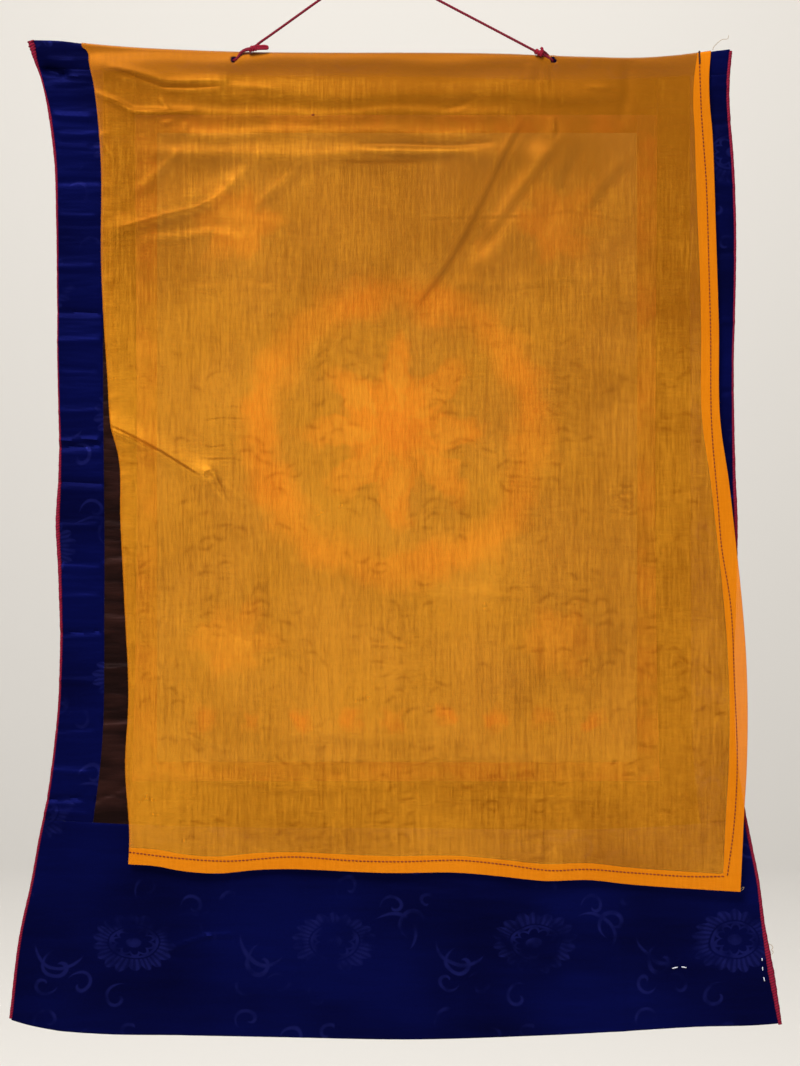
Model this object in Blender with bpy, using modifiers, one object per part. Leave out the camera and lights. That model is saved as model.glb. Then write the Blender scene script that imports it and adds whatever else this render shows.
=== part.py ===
"""Hanging scroll painting: a picture in a sewn silk mount, behind a sheer veil, on a tied cord.

The origin is the point on the cord's underside where it bears on its support. +Z is up and the
front faces -Y. Sizes are in metres. A height is given as a drop, the distance below the origin.
"""

from collections import namedtuple
from math import radians

import bmesh
import bpy
import numpy as np

OBJECT_NAME = "scroll_painting"

# Cloth thicknesses, and the gap between pieces that are sewn or tied together.
SEAM_GAP = 0.0003
MOUNT_THICK = 0.0015
VEIL_THICK = 0.0010
HEM_THICK = 0.0016
SIDE_HEM = 0.0150
FOOT_HEM = 0.0140
VEIL_WIDTH = 0.5300
VEIL_HEIGHT = 0.7050

# The veil's turn over the top edge: its clearance there and how far it reaches down the back.
TURN_CLEAR = 0.0007
LIP_LENGTH = 0.0120
HEM_STEP = 0.0020  # share of the veil over which its thickness changes at a hem

# The veil hangs further from the mount below its sewn top, most where it crosses the binding.
VEIL_SLACK_TOP = 0.0003
VEIL_SLACK_BODY = 0.0024
VEIL_SLACK_DROP = 0.0300
SEWN_DEPTH = 0.0040
BINDING_CLEAR = 0.0030
BINDING_CROSSING = 0.6600
CROSSING_SPREAD = 0.1600
CROSSING_REACH = 0.0500

CORD_DIAMETER = 0.0022
EYELET_DIAMETER = 0.0046
EYELETS = ((-0.1153, 0.0796), (0.1557, 0.0802))  # x, drop
CUTTER_LENGTH = 0.0200

TOP_DROP = 0.0700
FOOT_DROP = 0.9100
SETTLE_ROUNDS = 12  # rounds that place a point between two upright and two level lines
SHARP_ANGLE = radians(40)

# Upright lines of the mount. Each row: drop, x.
UPRIGHT_LINES = {
    "left edge": (
        (0.0624, -0.2912),
        (0.0720, -0.2882),
        (0.0964, -0.2792),
        (0.1304, -0.2724),
        (0.1644, -0.2682),
        (0.2154, -0.2665),
        (0.3259, -0.2656),
        (0.4364, -0.2648),
        (0.4704, -0.2668),
        (0.5129, -0.2648),
        (0.5724, -0.2631),
        (0.6149, -0.2639),
        (0.6574, -0.2673),
        (0.7084, -0.2741),
        (0.7424, -0.2809),
        (0.7764, -0.2869),
        (0.8189, -0.2962),
        (0.8937, -0.3056),
    ),
    "right edge": (
        (0.0700, 0.3087),
        (0.0964, 0.3063),
        (0.1304, 0.3071),
        (0.1644, 0.3097),
        (0.2069, 0.3114),
        (0.3684, 0.3098),
        (0.4364, 0.3115),
        (0.4704, 0.3132),
        (0.5214, 0.3124),
        (0.6064, 0.3107),
        (0.6744, 0.3132),
        (0.7126, 0.3192),
        (0.7424, 0.3251),
        (0.7764, 0.3319),
        (0.8146, 0.3370),
        (0.8571, 0.3450),
        (0.8988, 0.3510),
    ),
    "left seam": (
        (0.1049, -0.2261),
        (0.3514, -0.2265),
        (0.5384, -0.2253),
        (0.6744, -0.2282),
        (0.7296, -0.2350),
    ),
    "right seam": (
        (0.1049, 0.2724),
        (0.3514, 0.2724),
        (0.5384, 0.2733),
        (0.6744, 0.2758),
        (0.7296, 0.2818),
    ),
    "left brown": ((0.1049, -0.1993), (0.6000, -0.1993), (0.7296, -0.2027)),
    "right brown": ((0.1049, 0.2444), (0.6000, 0.2444), (0.7296, 0.2480)),
    "left red": ((0.1261, -0.1806), (0.6922, -0.1806)),
    "right red": ((0.1261, 0.2274), (0.6922, 0.2274)),
}

# Level lines of the mount. Each row: x, drop. The top edge dips by the veil's turn where that
# covers it.
LEVEL_LINES = {
    "top edge": (
        (-0.2903, 0.0624),
        (-0.2631, 0.0632),
        (-0.2376, 0.0662),
        (-0.1951, 0.0696),
        (-0.1611, 0.0713),
        (-0.1143, 0.0730),
        (-0.0251, 0.0739),
        (0.0429, 0.0739),
        (0.1109, 0.0747),
        (0.1789, 0.0773),
        (0.2299, 0.0781),
        (0.2639, 0.0756),
        (0.2903, 0.0722),
        (0.3081, 0.0700),
    ),
    "heading seam": (
        (-0.2903, 0.0850),
        (-0.2100, 0.0890),
        (-0.1100, 0.0925),
        (0.0400, 0.0938),
        (0.1800, 0.0962),
        (0.3081, 0.0915),
    ),
    "top brown": ((-0.2027, 0.1261), (0.2480, 0.1261)),
    "top red": ((-0.1806, 0.1414), (0.2274, 0.1414)),
    "bottom red": ((-0.1806, 0.6761), (0.2274, 0.6761)),
    "bottom brown": ((-0.2027, 0.6922), (0.2480, 0.6922)),
    "foot seam": (
        (-0.2758, 0.7245),
        (-0.2053, 0.7288),
        (0.0259, 0.7322),
        (0.2724, 0.7296),
        (0.3217, 0.7253),
    ),
    "foot edge": (
        (-0.3056, 0.8937),
        (-0.2886, 0.8988),
        (-0.2631, 0.9039),
        (-0.2291, 0.9073),
        (-0.1611, 0.9094),
        (-0.0591, 0.9107),
        (0.0429, 0.9120),
        (0.1449, 0.9086),
        (0.2129, 0.9056),
        (0.2809, 0.9022),
        (0.3319, 0.9005),
        (0.3498, 0.8988),
    ),
}

# Outline of the veil. Upright rows: drop, x. The first row of the left side is a turned corner.
VEIL_LEFT = (
    (0.0675, -0.2448),
    (0.0726, -0.2402),
    (0.0802, -0.2384),
    (0.0998, -0.2342),
    (0.1261, -0.2308),
    (0.1584, -0.2282),
    (0.2579, -0.2274),
    (0.3488, -0.2223),
    (0.3922, -0.2189),
    (0.4143, -0.2133),
    (0.4704, -0.2112),
    (0.5401, -0.2078),
    (0.6268, -0.2044),
    (0.6744, -0.2070),
    (0.7483, -0.2036),
    (0.7619, -0.2044),
)
VEIL_RIGHT = (
    (0.0713, 0.2903),
    (0.0934, 0.2894),
    (0.1261, 0.2903),
    (0.1754, 0.2945),
    (0.3055, 0.2979),
    (0.3905, 0.2983),
    (0.4364, 0.3047),
    (0.4857, 0.3098),
    (0.5401, 0.3154),
    (0.5834, 0.3187),
    (0.6786, 0.3196),
    (0.7177, 0.3175),
    (0.7857, 0.3145),
)
VEIL_FOOT = (
    (-0.2044, 0.7619),
    (-0.1798, 0.7636),
    (-0.1619, 0.7670),
    (-0.1279, 0.7696),
    (-0.0973, 0.7670),
    (0.0259, 0.7692),
    (0.0761, 0.7692),
    (0.1126, 0.7721),
    (0.1475, 0.7755),
    (0.1866, 0.7752),
    (0.2163, 0.7789),
    (0.3145, 0.7857),
)

# Slow waves of the whole mount. Each row: wave length across and down, depth at the foot, phase in
# turns. They grow from nothing at the top edge.
WAVES = (
    (0.430, 1.900, 0.0032, 0.10),
    (0.240, -2.400, 0.0014, 0.35),
    (1.100, 0.800, 0.0026, 0.05),
)
WAVE_GROWTH = 1.3

# Cross creases pressed into the side panels by rolling. Each row: side, drop, depth, half height.
SIDE_CREASES = (
    ("left edge", 0.0900, 0.0018, 0.010),
    ("left edge", 0.1220, 0.0012, 0.012),
    ("left edge", 0.2980, 0.0015, 0.014),
    ("left edge", 0.4060, 0.0018, 0.014),
    ("left edge", 0.5720, 0.0016, 0.014),
    ("left edge", 0.6300, 0.0012, 0.014),
    ("right edge", 0.1150, 0.0014, 0.012),
    ("right edge", 0.3300, 0.0015, 0.014),
    ("right edge", 0.4800, 0.0014, 0.014),
)
CREASE_REACH = 0.0300

# Main folds of the veil, each a soft ridge, or a trough if its height is negative. Each row: x and
# drop at its start and end, height, half width.
VEIL_FOLDS = (
    (-0.219, 0.392, -0.138, 0.434, 0.0034, 0.011),
    (-0.138, 0.434, -0.118, 0.462, 0.0018, 0.012),
    (0.124, 0.143, 0.072, 0.226, -0.0016, 0.013),
    (0.072, 0.226, 0.032, 0.300, -0.0020, 0.013),
    (0.150, 0.160, 0.092, 0.250, 0.0020, 0.014),
    (-0.226, 0.086, -0.130, 0.102, 0.0022, 0.010),
    (-0.146, 0.156, 0.140, 0.160, 0.0018, 0.012),
    (-0.210, 0.222, -0.106, 0.186, 0.0018, 0.012),
    (-0.158, 0.712, -0.190, 0.740, 0.0020, 0.012),
)
FOOT_FLUTES = 3.5
FOOT_FLUTE_DEPTH = 0.0015

# Width of each edge binding. Each row: drop, diameter.
BINDING_WIDTHS = {
    "left edge": (
        (0.0600, 0.0058),
        (0.0700, 0.0054),
        (0.0820, 0.0028),
        (0.1300, 0.0026),
        (0.4300, 0.0026),
        (0.4700, 0.0038),
        (0.5150, 0.0032),
        (0.5600, 0.0026),
        (0.9000, 0.0028),
    ),
    "right edge": (
        (0.0700, 0.0028),
        (0.4200, 0.0026),
        (0.4700, 0.0034),
        (0.5300, 0.0026),
        (0.8200, 0.0028),
        (0.8560, 0.0050),
        (0.8800, 0.0040),
        (0.9000, 0.0028),
    ),
}
BINDING_SPAN = {"left edge": (0.0632, 0.8930), "right edge": (0.0716, 0.8985)}
BINDING_POINTS = 44

# The cord's route from knot to knot, over its support. Each row: x, y, z.
CORD_ROUTE = (
    (-0.0943, -0.0050, -0.0667),
    (-0.0850, -0.0045, -0.0599),
    (-0.0740, -0.0039, -0.0519),
    (-0.0620, -0.0032, -0.0431),
    (-0.0500, -0.0026, -0.0343),
    (-0.0380, -0.0020, -0.0256),
    (-0.0260, -0.0013, -0.0168),
    (-0.0150, -0.0008, -0.0088),
    (-0.0080, -0.0004, -0.0037),
    (-0.0045, -0.0002, -0.0013),
    (-0.0020, 0.0000, 0.0004),
    (0.0004, 0.0000, 0.0011),
    (0.0028, 0.0000, 0.0006),
    (0.0060, -0.0002, -0.0010),
    (0.0110, -0.0004, -0.0037),
    (0.0220, -0.0008, -0.0095),
    (0.0360, -0.0013, -0.0170),
    (0.0520, -0.0019, -0.0255),
    (0.0700, -0.0025, -0.0351),
    (0.0880, -0.0032, -0.0447),
    (0.1060, -0.0038, -0.0543),
    (0.1230, -0.0044, -0.0634),
    (0.1405, -0.0050, -0.0727),
)
CORD_POINTS = 60

# Routes of the two loops: from the knot down the front, through the eyelet, up the back and over
# the top edge to the knot again. Each row: x, y, drop.
LOOP_ROUTES = {
    "cord_loop_left": (
        (-0.1017, -0.0050, 0.0716),
        (-0.1048, -0.0046, 0.0720),
        (-0.1078, -0.0042, 0.0732),
        (-0.1100, -0.0040, 0.0752),
        (-0.1116, -0.0040, 0.0778),
        (-0.1134, -0.0039, 0.0796),
        (-0.1150, -0.0024, 0.0800),
        (-0.1154, -0.0004, 0.0797),
        (-0.1154, 0.0014, 0.0796),
        (-0.1152, 0.0034, 0.0788),
        (-0.1140, 0.0044, 0.0768),
        (-0.1120, 0.0045, 0.0744),
        (-0.1096, 0.0042, 0.0720),
        (-0.1068, 0.0034, 0.0702),
        (-0.1036, 0.0018, 0.0694),
        (-0.1008, -0.0004, 0.0696),
        (-0.0992, -0.0019, 0.0702),
    ),
    "cord_loop_right": (
        (0.1467, -0.0049, 0.0751),
        (0.1500, -0.0042, 0.0769),
        (0.1524, -0.0040, 0.0784),
        (0.1544, -0.0036, 0.0797),
        (0.1555, -0.0020, 0.0803),
        (0.1557, -0.0002, 0.0803),
        (0.1557, 0.0016, 0.0801),
        (0.1553, 0.0035, 0.0792),
        (0.1541, 0.0045, 0.0773),
        (0.1525, 0.0046, 0.0752),
        (0.1506, 0.0038, 0.0733),
        (0.1486, 0.0020, 0.0722),
        (0.1468, 0.0000, 0.0720),
        (0.1453, -0.0027, 0.0727),
    ),
}
LOOP_POINTS = 30

# The two knots and their short tails, as lumps along a line. Each row: x, y, drop, radius.
KNOT_LUMPS = {
    "cord_knot_left": (
        (-0.1013, -0.0052, 0.0713, 0.0011),
        (-0.1000, -0.0053, 0.0710, 0.0021),
        (-0.0978, -0.0054, 0.0704, 0.0028),
        (-0.0955, -0.0054, 0.0702, 0.0026),
        (-0.0930, -0.0053, 0.0702, 0.0020),
        (-0.0905, -0.0052, 0.0698, 0.0020),
        (-0.0885, -0.0052, 0.0692, 0.0025),
        (-0.0870, -0.0052, 0.0690, 0.0022),
        (-0.0862, -0.0052, 0.0690, 0.0012),
    ),
    "cord_knot_right": (
        (0.1412, -0.0052, 0.0753, 0.0010),
        (0.1422, -0.0053, 0.0750, 0.0020),
        (0.1434, -0.0054, 0.0741, 0.0026),
        (0.1448, -0.0054, 0.0731, 0.0024),
        (0.1456, -0.0052, 0.0716, 0.0016),
        (0.1460, -0.0050, 0.0704, 0.0012),
    ),
}

# Finish of each cloth. Each row: linear red, green, blue, roughness.
CLOTHS = {
    "navy_silk": (0.006, 0.007, 0.080, 0.45),
    "brown_silk": (0.030, 0.011, 0.008, 0.50),
    "red_silk": (0.280, 0.030, 0.018, 0.60),
    "painted_cotton": (0.180, 0.130, 0.040, 0.75),
    "veil_silk": (0.620, 0.235, 0.020, 0.40),
    "binding_silk": (0.300, 0.012, 0.040, 0.55),
    "cord_yarn": (0.160, 0.006, 0.020, 0.65),
}

Panel = namedtuple("Panel", "node cloth left right upper lower columns rows")
MOUNT_PANELS = (
    Panel("navy_heading", "navy_silk", "left edge", "right edge", "top edge", "heading seam", 30, 2),
    Panel("navy_side_left", "navy_silk", "left edge", "left seam", "heading seam", "foot seam", 3, 46),
    Panel("navy_side_right", "navy_silk", "right seam", "right edge", "heading seam", "foot seam", 3, 46),
    Panel("navy_foot", "navy_silk", "left edge", "right edge", "foot seam", "foot edge", 24, 8),
    Panel("brown_left", "brown_silk", "left seam", "left brown", "heading seam", "foot seam", 2, 30),
    Panel("brown_right", "brown_silk", "right brown", "right seam", "heading seam", "foot seam", 2, 30),
    Panel("brown_top", "brown_silk", "left brown", "right brown", "heading seam", "top brown", 18, 2),
    Panel("brown_bottom", "brown_silk", "left brown", "right brown", "bottom brown", "foot seam", 16, 2),
    Panel("red_left", "red_silk", "left brown", "left red", "top brown", "bottom brown", 1, 24),
    Panel("red_right", "red_silk", "right red", "right brown", "top brown", "bottom brown", 1, 24),
    Panel("red_top", "red_silk", "left red", "right red", "top brown", "top red", 16, 1),
    Panel("red_bottom", "red_silk", "left red", "right red", "bottom red", "bottom brown", 16, 1),
    Panel("painting", "painted_cotton", "left red", "right red", "top red", "bottom red", 12, 15),
)
VEIL_COLUMNS = 26
VEIL_ROWS = 38


def mix(low, high, share):
    return low + (high - low) * share


def along(table, at):
    """Reads a smooth curve through a table of (place, value) rows at the places asked for."""
    places, values = np.array(sorted(table)).T
    slopes = np.gradient(values, places)
    inside = np.clip(at, places[0], places[-1])
    start = np.clip(np.searchsorted(places, inside) - 1, 0, len(places) - 2)
    span = places[start + 1] - places[start]
    share = (inside - places[start]) / span
    ease = share**2 * (3 - 2 * share)
    rise = share * (1 - share) ** 2 * slopes[start] - share**2 * (1 - share) * slopes[start + 1]
    end_slope = np.where(at < places[0], slopes[0], slopes[-1])
    value = mix(values[start], values[start + 1], ease) + span * rise
    return value + (at - inside) * end_slope


def binding_width(edge, drop):
    table = BINDING_WIDTHS[edge]
    return along(table, np.clip(drop, table[0][0], table[-1][0]))


def side_inset(line, drop):
    """How far a panel stops short of one of its upright lines."""
    if line in BINDING_WIDTHS:
        return binding_width(line, drop) + SEAM_GAP
    return SEAM_GAP / 2


def level_inset(line):
    """How far a panel stops short of one of its level lines."""
    return 0.0 if line in ("top edge", "foot edge") else SEAM_GAP / 2


def panel_point(panel, across, down):
    """x and drop at a share across and down a panel, between its four lines."""
    drop = mix(TOP_DROP, FOOT_DROP, down)
    for _ in range(SETTLE_ROUNDS):
        left = along(UPRIGHT_LINES[panel.left], drop) + side_inset(panel.left, drop)
        right = along(UPRIGHT_LINES[panel.right], drop) - side_inset(panel.right, drop)
        x = mix(left, right, across)
        upper = along(LEVEL_LINES[panel.upper], x) + level_inset(panel.upper)
        lower = along(LEVEL_LINES[panel.lower], x) - level_inset(panel.lower)
        drop = mix(upper, lower, down)
    return x, drop


def slow_waves(x, drop):
    """Depth of the mount's slow waves, positive away from the viewer."""
    growth = np.clip((drop - TOP_DROP) / (FOOT_DROP - TOP_DROP), 0, 1) ** WAVE_GROWTH
    depth = 0
    for wide, tall, foot_depth, phase in WAVES:
        depth = depth + foot_depth * np.sin(2 * np.pi * (x / wide + drop / tall + phase))
    return growth * depth


def mount_front(x, drop):
    """y of the mount's front face."""
    y = slow_waves(x, drop) - MOUNT_THICK / 2
    for side, place, depth, half_height in SIDE_CREASES:
        inward = (x - along(UPRIGHT_LINES[side], drop)) / CREASE_REACH
        y = y + depth * np.exp(-(((drop - place) / half_height) ** 2) - inward**2)
    return y


def fold_height(x, drop):
    """Height of the veil's folds, positive towards the viewer."""
    height = np.zeros_like(x)
    for start_x, start_drop, end_x, end_drop, rise, half_width in VEIL_FOLDS:
        run_x, run_drop = end_x - start_x, end_drop - start_drop
        share = ((x - start_x) * run_x + (drop - start_drop) * run_drop) / (run_x**2 + run_drop**2)
        share = np.clip(share, 0, 1)
        away = np.hypot(x - start_x - share * run_x, drop - start_drop - share * run_drop)
        height = height + rise * np.exp(-((away / half_width) ** 2))
    return height


def veil_slack(x, drop):
    """How far the veil's back face hangs in front of the mount."""
    body = 1 - np.exp(-np.clip(drop - TOP_DROP - SEWN_DEPTH, 0, None) / VEIL_SLACK_DROP)
    slack = mix(VEIL_SLACK_TOP, VEIL_SLACK_BODY, body)
    near_edge = np.exp(-(((x - along(UPRIGHT_LINES["right edge"], drop)) / CROSSING_REACH) ** 2))
    crossing = np.exp(-(((drop - BINDING_CROSSING) / CROSSING_SPREAD) ** 4))
    return slack + BINDING_CLEAR * near_edge * crossing


def veil_back(x, drop, down):
    """y of the veil's back face."""
    flutes = FOOT_FLUTE_DEPTH * (1 + np.cos(2 * np.pi * FOOT_FLUTES * x / VEIL_WIDTH)) * down**2
    folds = np.maximum(fold_height(x, drop) + flutes, SEAM_GAP - veil_slack(x, drop))
    return slow_waves(x, drop) - MOUNT_THICK / 2 - veil_slack(x, drop) - folds


def cloth_material(cloth):
    """One material for each cloth, shared by the pieces cut from it."""
    found = bpy.data.materials.get(cloth)
    if found:
        return found
    material = bpy.data.materials.new(cloth)
    material.use_nodes = True
    shader = material.node_tree.nodes["Principled BSDF"]
    *colour, roughness = CLOTHS[cloth]
    shader.inputs["Base Color"].default_value = (*colour, 1.0)
    shader.inputs["Roughness"].default_value = roughness
    shader.inputs["Metallic"].default_value = 0.0
    return material


def add_object(node, data, cloth, collection):
    made = bpy.data.objects.new(node, data)
    collection.objects.link(made)
    data.materials.append(cloth_material(cloth))
    return made


def grid_mesh(columns, rows, place, weigh=None):
    """A grid facing the viewer, its points put and weighed by what two functions of column and row say."""
    grid = bmesh.new()
    bmesh.ops.create_grid(grid, x_segments=columns, y_segments=rows, size=0.5)
    weights = grid.verts.layers.deform.verify() if weigh else None
    for point in grid.verts:
        column = round((point.co.x + 0.5) * columns)
        row = round((0.5 - point.co.y) * rows)
        point.co = place(column, row)
        if weigh:
            point[weights][0] = weigh(column, row)
    return grid


def finish_mesh(grid, node):
    data = bpy.data.meshes.new(node)
    grid.to_mesh(data)
    grid.free()
    data.shade_smooth()
    data.set_sharp_from_angle(angle=SHARP_ANGLE)
    return data


def mount_panel(panel, collection):
    """One cut panel of the mount, as a sheet of even thickness on the mount's waves."""
    across, down = np.meshgrid(np.linspace(0, 1, panel.columns + 1), np.linspace(0, 1, panel.rows + 1))
    x, drop = panel_point(panel, across, down)
    y = mount_front(x, drop)
    grid = grid_mesh(
        panel.columns,
        panel.rows,
        lambda column, row: (x[row, column], y[row, column], -drop[row, column]),
    )
    thicken_back(grid, MOUNT_THICK)
    return add_object(panel.node, finish_mesh(grid, panel.node), panel.cloth, collection)


def thicken_back(grid, thickness):
    """Closes a sheet by drawing its faces straight back."""
    drawn = bmesh.ops.extrude_face_region(grid, geom=list(grid.faces))
    moved = [item for item in drawn["geom"] if isinstance(item, bmesh.types.BMVert)]
    bmesh.ops.translate(grid, verts=moved, vec=(0, thickness, 0))
    bmesh.ops.recalc_face_normals(grid, faces=list(grid.faces))


def with_hem_line(count, hem_share):
    """Even stations from 0 to 1, with a close pair at a hem's inner edge."""
    inner = 1 - hem_share
    body = np.linspace(0, inner - HEM_STEP, count - 1)
    return np.array([*body, inner, 1.0])


def veil(collection):
    """The sheer veil: hemmed at the right and the foot, turned over the mount's top edge."""
    side_hem, foot_hem = SIDE_HEM / VEIL_WIDTH, FOOT_HEM / VEIL_HEIGHT
    across = with_hem_line(VEIL_COLUMNS, side_hem)
    down = with_hem_line(VEIL_ROWS, foot_hem)
    share, fall = np.meshgrid(across, down)
    drop = mix(TOP_DROP, FOOT_DROP, fall)
    for _ in range(SETTLE_ROUNDS):
        x = mix(along(VEIL_LEFT, drop), along(VEIL_RIGHT, drop), share)
        drop = mix(along(LEVEL_LINES["top edge"], x), along(VEIL_FOOT, x), fall)
    y = veil_back(x, drop, fall)

    # Section of the turn, from the lip's end at the back to the front. Each row: y from the mount's
    # middle, and z from its top edge.
    half = MOUNT_THICK / 2
    turn = (
        (half + VEIL_SLACK_TOP, -LIP_LENGTH),
        (half + VEIL_SLACK_TOP, -LIP_LENGTH / 2),
        (half + VEIL_SLACK_TOP, 0.0),
        (half, TURN_CLEAR),
        (-half, TURN_CLEAR),
    )

    def place(column, row):
        if row < len(turn):
            behind, above = turn[row]
            fallen = drop[0, column] - above
            return (x[0, column], slow_waves(x[0, column], fallen) + behind, -fallen)
        row -= len(turn)
        return (x[row, column], y[row, column], -drop[row, column])

    def weigh(column, row):
        falls = down[max(row - len(turn), 0)]
        in_hem = across[column] >= across[-2] or falls >= down[-2]
        return 1.0 if in_hem else VEIL_THICK / HEM_THICK

    grid = grid_mesh(len(across) - 1, len(down) - 1 + len(turn), place, weigh)
    made = add_object("veil", finish_mesh(grid, "veil"), "veil_silk", collection)
    made.vertex_groups.new(name="hem")
    shell = made.modifiers.new("thickness", "SOLIDIFY")
    shell.thickness = HEM_THICK
    shell.offset = 1.0
    shell.use_even_offset = True
    shell.vertex_group = "hem"
    return made


def smooth_route(points, count):
    """Evenly spaced points on a smooth curve through a route's own points."""
    points = np.array(points)
    lengths = np.linalg.norm(np.diff(points[:, :3], axis=0), axis=1)
    places = np.concatenate(([0.0], np.cumsum(lengths)))
    stations = np.linspace(0, places[-1], count)
    return np.column_stack([along(list(zip(places, values)), stations) for values in points.T])


def tube(node, cloth, route, radii, collection):
    """A round tube with filled ends along a route, as wide at each point as its radius says."""
    widest = float(max(radii))
    curve = bpy.data.curves.new(node, "CURVE")
    curve.dimensions = "3D"
    curve.bevel_depth = widest
    curve.bevel_resolution = 2
    curve.use_fill_caps = True
    spline = curve.splines.new("POLY")
    spline.points.add(len(route) - 1)
    for point, place, radius in zip(spline.points, route, radii):
        point.co = (*place, 1.0)
        point.radius = float(radius) / widest
    spline.use_smooth = True
    return add_object(node, curve, cloth, collection)


def edge_binding(side, collection):
    """The rolled binding sewn along one side edge of the mount."""
    edge = f"{side} edge"
    inward = 1 if side == "left" else -1
    drop = np.linspace(*BINDING_SPAN[edge], BINDING_POINTS)
    radius = binding_width(edge, drop) / 2
    x = along(UPRIGHT_LINES[edge], drop) + inward * radius
    y = mount_front(x, drop) + MOUNT_THICK / 2
    return tube(f"edge_binding_{side}", "binding_silk", np.column_stack([x, y, -drop]), radius, collection)


def hanging_cord(collection):
    route = smooth_route(CORD_ROUTE, CORD_POINTS)
    return tube("hanging_cord", "cord_yarn", route, np.full(len(route), CORD_DIAMETER / 2), collection)


def cord_loop(node, collection):
    route = smooth_route(LOOP_ROUTES[node], LOOP_POINTS) * (1, 1, -1)
    return tube(node, "cord_yarn", route, np.full(len(route), CORD_DIAMETER / 2), collection)


def cord_knot(node, collection):
    lumps = smooth_route(KNOT_LUMPS[node], 2 * len(KNOT_LUMPS[node]))
    return tube(node, "cord_yarn", lumps[:, :3] * (1, 1, -1), lumps[:, 3], collection)


def eyelet_cutter(number, x, drop, collection):
    """A pin through the heading and the veil, as wide as the eyelet hole."""
    pin = bmesh.new()
    bmesh.ops.create_cone(
        pin,
        cap_ends=True,
        segments=16,
        radius1=EYELET_DIAMETER / 2,
        radius2=EYELET_DIAMETER / 2,
        depth=CUTTER_LENGTH,
    )
    node = f"eyelet_cutter_{number}"
    data = bpy.data.meshes.new(node)
    pin.to_mesh(data)
    pin.free()
    cutter = bpy.data.objects.new(node, data)
    cutter.location = (x, 0, -drop)
    cutter.rotation_euler = (radians(90), 0, 0)
    cutter.hide_render = True
    cutter.display_type = "WIRE"
    collection.objects.link(cutter)
    return cutter


def cut_with(made, cutters):
    for cutter in cutters:
        cut = made.modifiers.new(cutter.name, "BOOLEAN")
        cut.operation = "DIFFERENCE"
        cut.solver = "EXACT"
        cut.object = cutter


def new_collection(name):
    made = bpy.data.collections.new(name)
    bpy.context.scene.collection.children.link(made)
    return made


def main():
    for old in list(bpy.data.objects):
        bpy.data.objects.remove(old, do_unlink=True)
    pieces = new_collection(OBJECT_NAME)
    cutting = new_collection("cutters")
    cutters = [eyelet_cutter(number, x, drop, cutting) for number, (x, drop) in enumerate(EYELETS, 1)]
    panels = {panel.node: mount_panel(panel, pieces) for panel in MOUNT_PANELS}
    cut_with(panels["navy_heading"], cutters)
    cut_with(veil(pieces), cutters)
    for side in ("left", "right"):
        edge_binding(side, pieces)
        cord_loop(f"cord_loop_{side}", pieces)
        cord_knot(f"cord_knot_{side}", pieces)
    hanging_cord(pieces)


main()
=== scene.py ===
"""Looks of a hanging scroll painting: a silk damask mount, a painted cloth, a sheer veil and its cord.

Sizes are in metres. +Z is up, the front faces -Y, and the origin is where the cord bears on its
support. A height is given as a drop, the distance below the origin.
"""

from collections import namedtuple
from math import pi, radians, tau

import bmesh
import bpy
import numpy as np
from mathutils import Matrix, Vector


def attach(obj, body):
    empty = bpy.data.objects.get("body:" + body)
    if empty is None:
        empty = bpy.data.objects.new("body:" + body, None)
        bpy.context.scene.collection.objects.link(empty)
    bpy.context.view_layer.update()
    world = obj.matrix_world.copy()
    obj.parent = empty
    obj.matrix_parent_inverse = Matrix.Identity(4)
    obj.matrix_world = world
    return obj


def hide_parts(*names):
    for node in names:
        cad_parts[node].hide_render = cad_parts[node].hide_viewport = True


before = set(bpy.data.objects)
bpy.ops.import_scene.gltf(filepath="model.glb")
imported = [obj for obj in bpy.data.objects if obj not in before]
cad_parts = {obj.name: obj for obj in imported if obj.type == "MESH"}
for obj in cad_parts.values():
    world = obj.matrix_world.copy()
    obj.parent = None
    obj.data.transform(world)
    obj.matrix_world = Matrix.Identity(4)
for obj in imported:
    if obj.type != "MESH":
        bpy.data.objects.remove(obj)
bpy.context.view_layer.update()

# Camera and room. The camera looks straight at the cloth from the middle of the picture. A soft lamp high
# in front rakes down over the folds, a weak one fills from the right, and a pale floor sweeps up behind.
PICTURE_HEIGHT = 0.9061
PICTURE_MIDDLE = (0.0259, -0.4814)  # x, z
VIEW_DISTANCE = 2.0
LAMPS = (
    # name, place, aim, size, watts
    ("key_lamp", (-1.50, -3.10, 3.60), (0.02, 0.0, -0.42), 2.0, 400),
    ("fill_lamp", (1.60, -3.60, -1.00), (0.05, 0.0, -0.60), 1.8, 24),
    ("far_lamp", (0.0, 2.20, 3.20), (0.0, 5.60, -0.60), 3.6, 116),
)
WORLD_LIGHT = (0.27, 0.27, 0.28)
ROOM_WIDTH = 16.0
FLOOR_DROP = 1.60
FLOOR_FRONT, FLOOR_BACK = -6.0, 5.8
WALL_HEIGHT = 5.0
SWEEP_WIDTH = 1.8
PALE_PAINT = (0.70, 0.665, 0.61, 1.0)

camera_data = bpy.data.cameras.new("camera")
camera_data.lens = camera_data.sensor_width * VIEW_DISTANCE / PICTURE_HEIGHT
camera = bpy.data.objects.new("camera", camera_data)
camera.location = (PICTURE_MIDDLE[0], -VIEW_DISTANCE, PICTURE_MIDDLE[1])
camera.rotation_euler = (radians(90), 0, 0)
bpy.context.scene.collection.objects.link(camera)
bpy.context.scene.camera = camera
bpy.context.scene.view_settings.view_transform = "Standard"

for name, place, aim, size, watts in LAMPS:
    lamp_data = bpy.data.lights.new(name, "AREA")
    lamp_data.size = size
    lamp_data.energy = watts
    lamp = bpy.data.objects.new(name, lamp_data)
    lamp.location = place
    toward = Vector(aim) - Vector(place)
    lamp.rotation_euler = toward.to_track_quat("-Z", "Y").to_euler()
    lamp.visible_camera = False
    bpy.context.scene.collection.objects.link(lamp)

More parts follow.
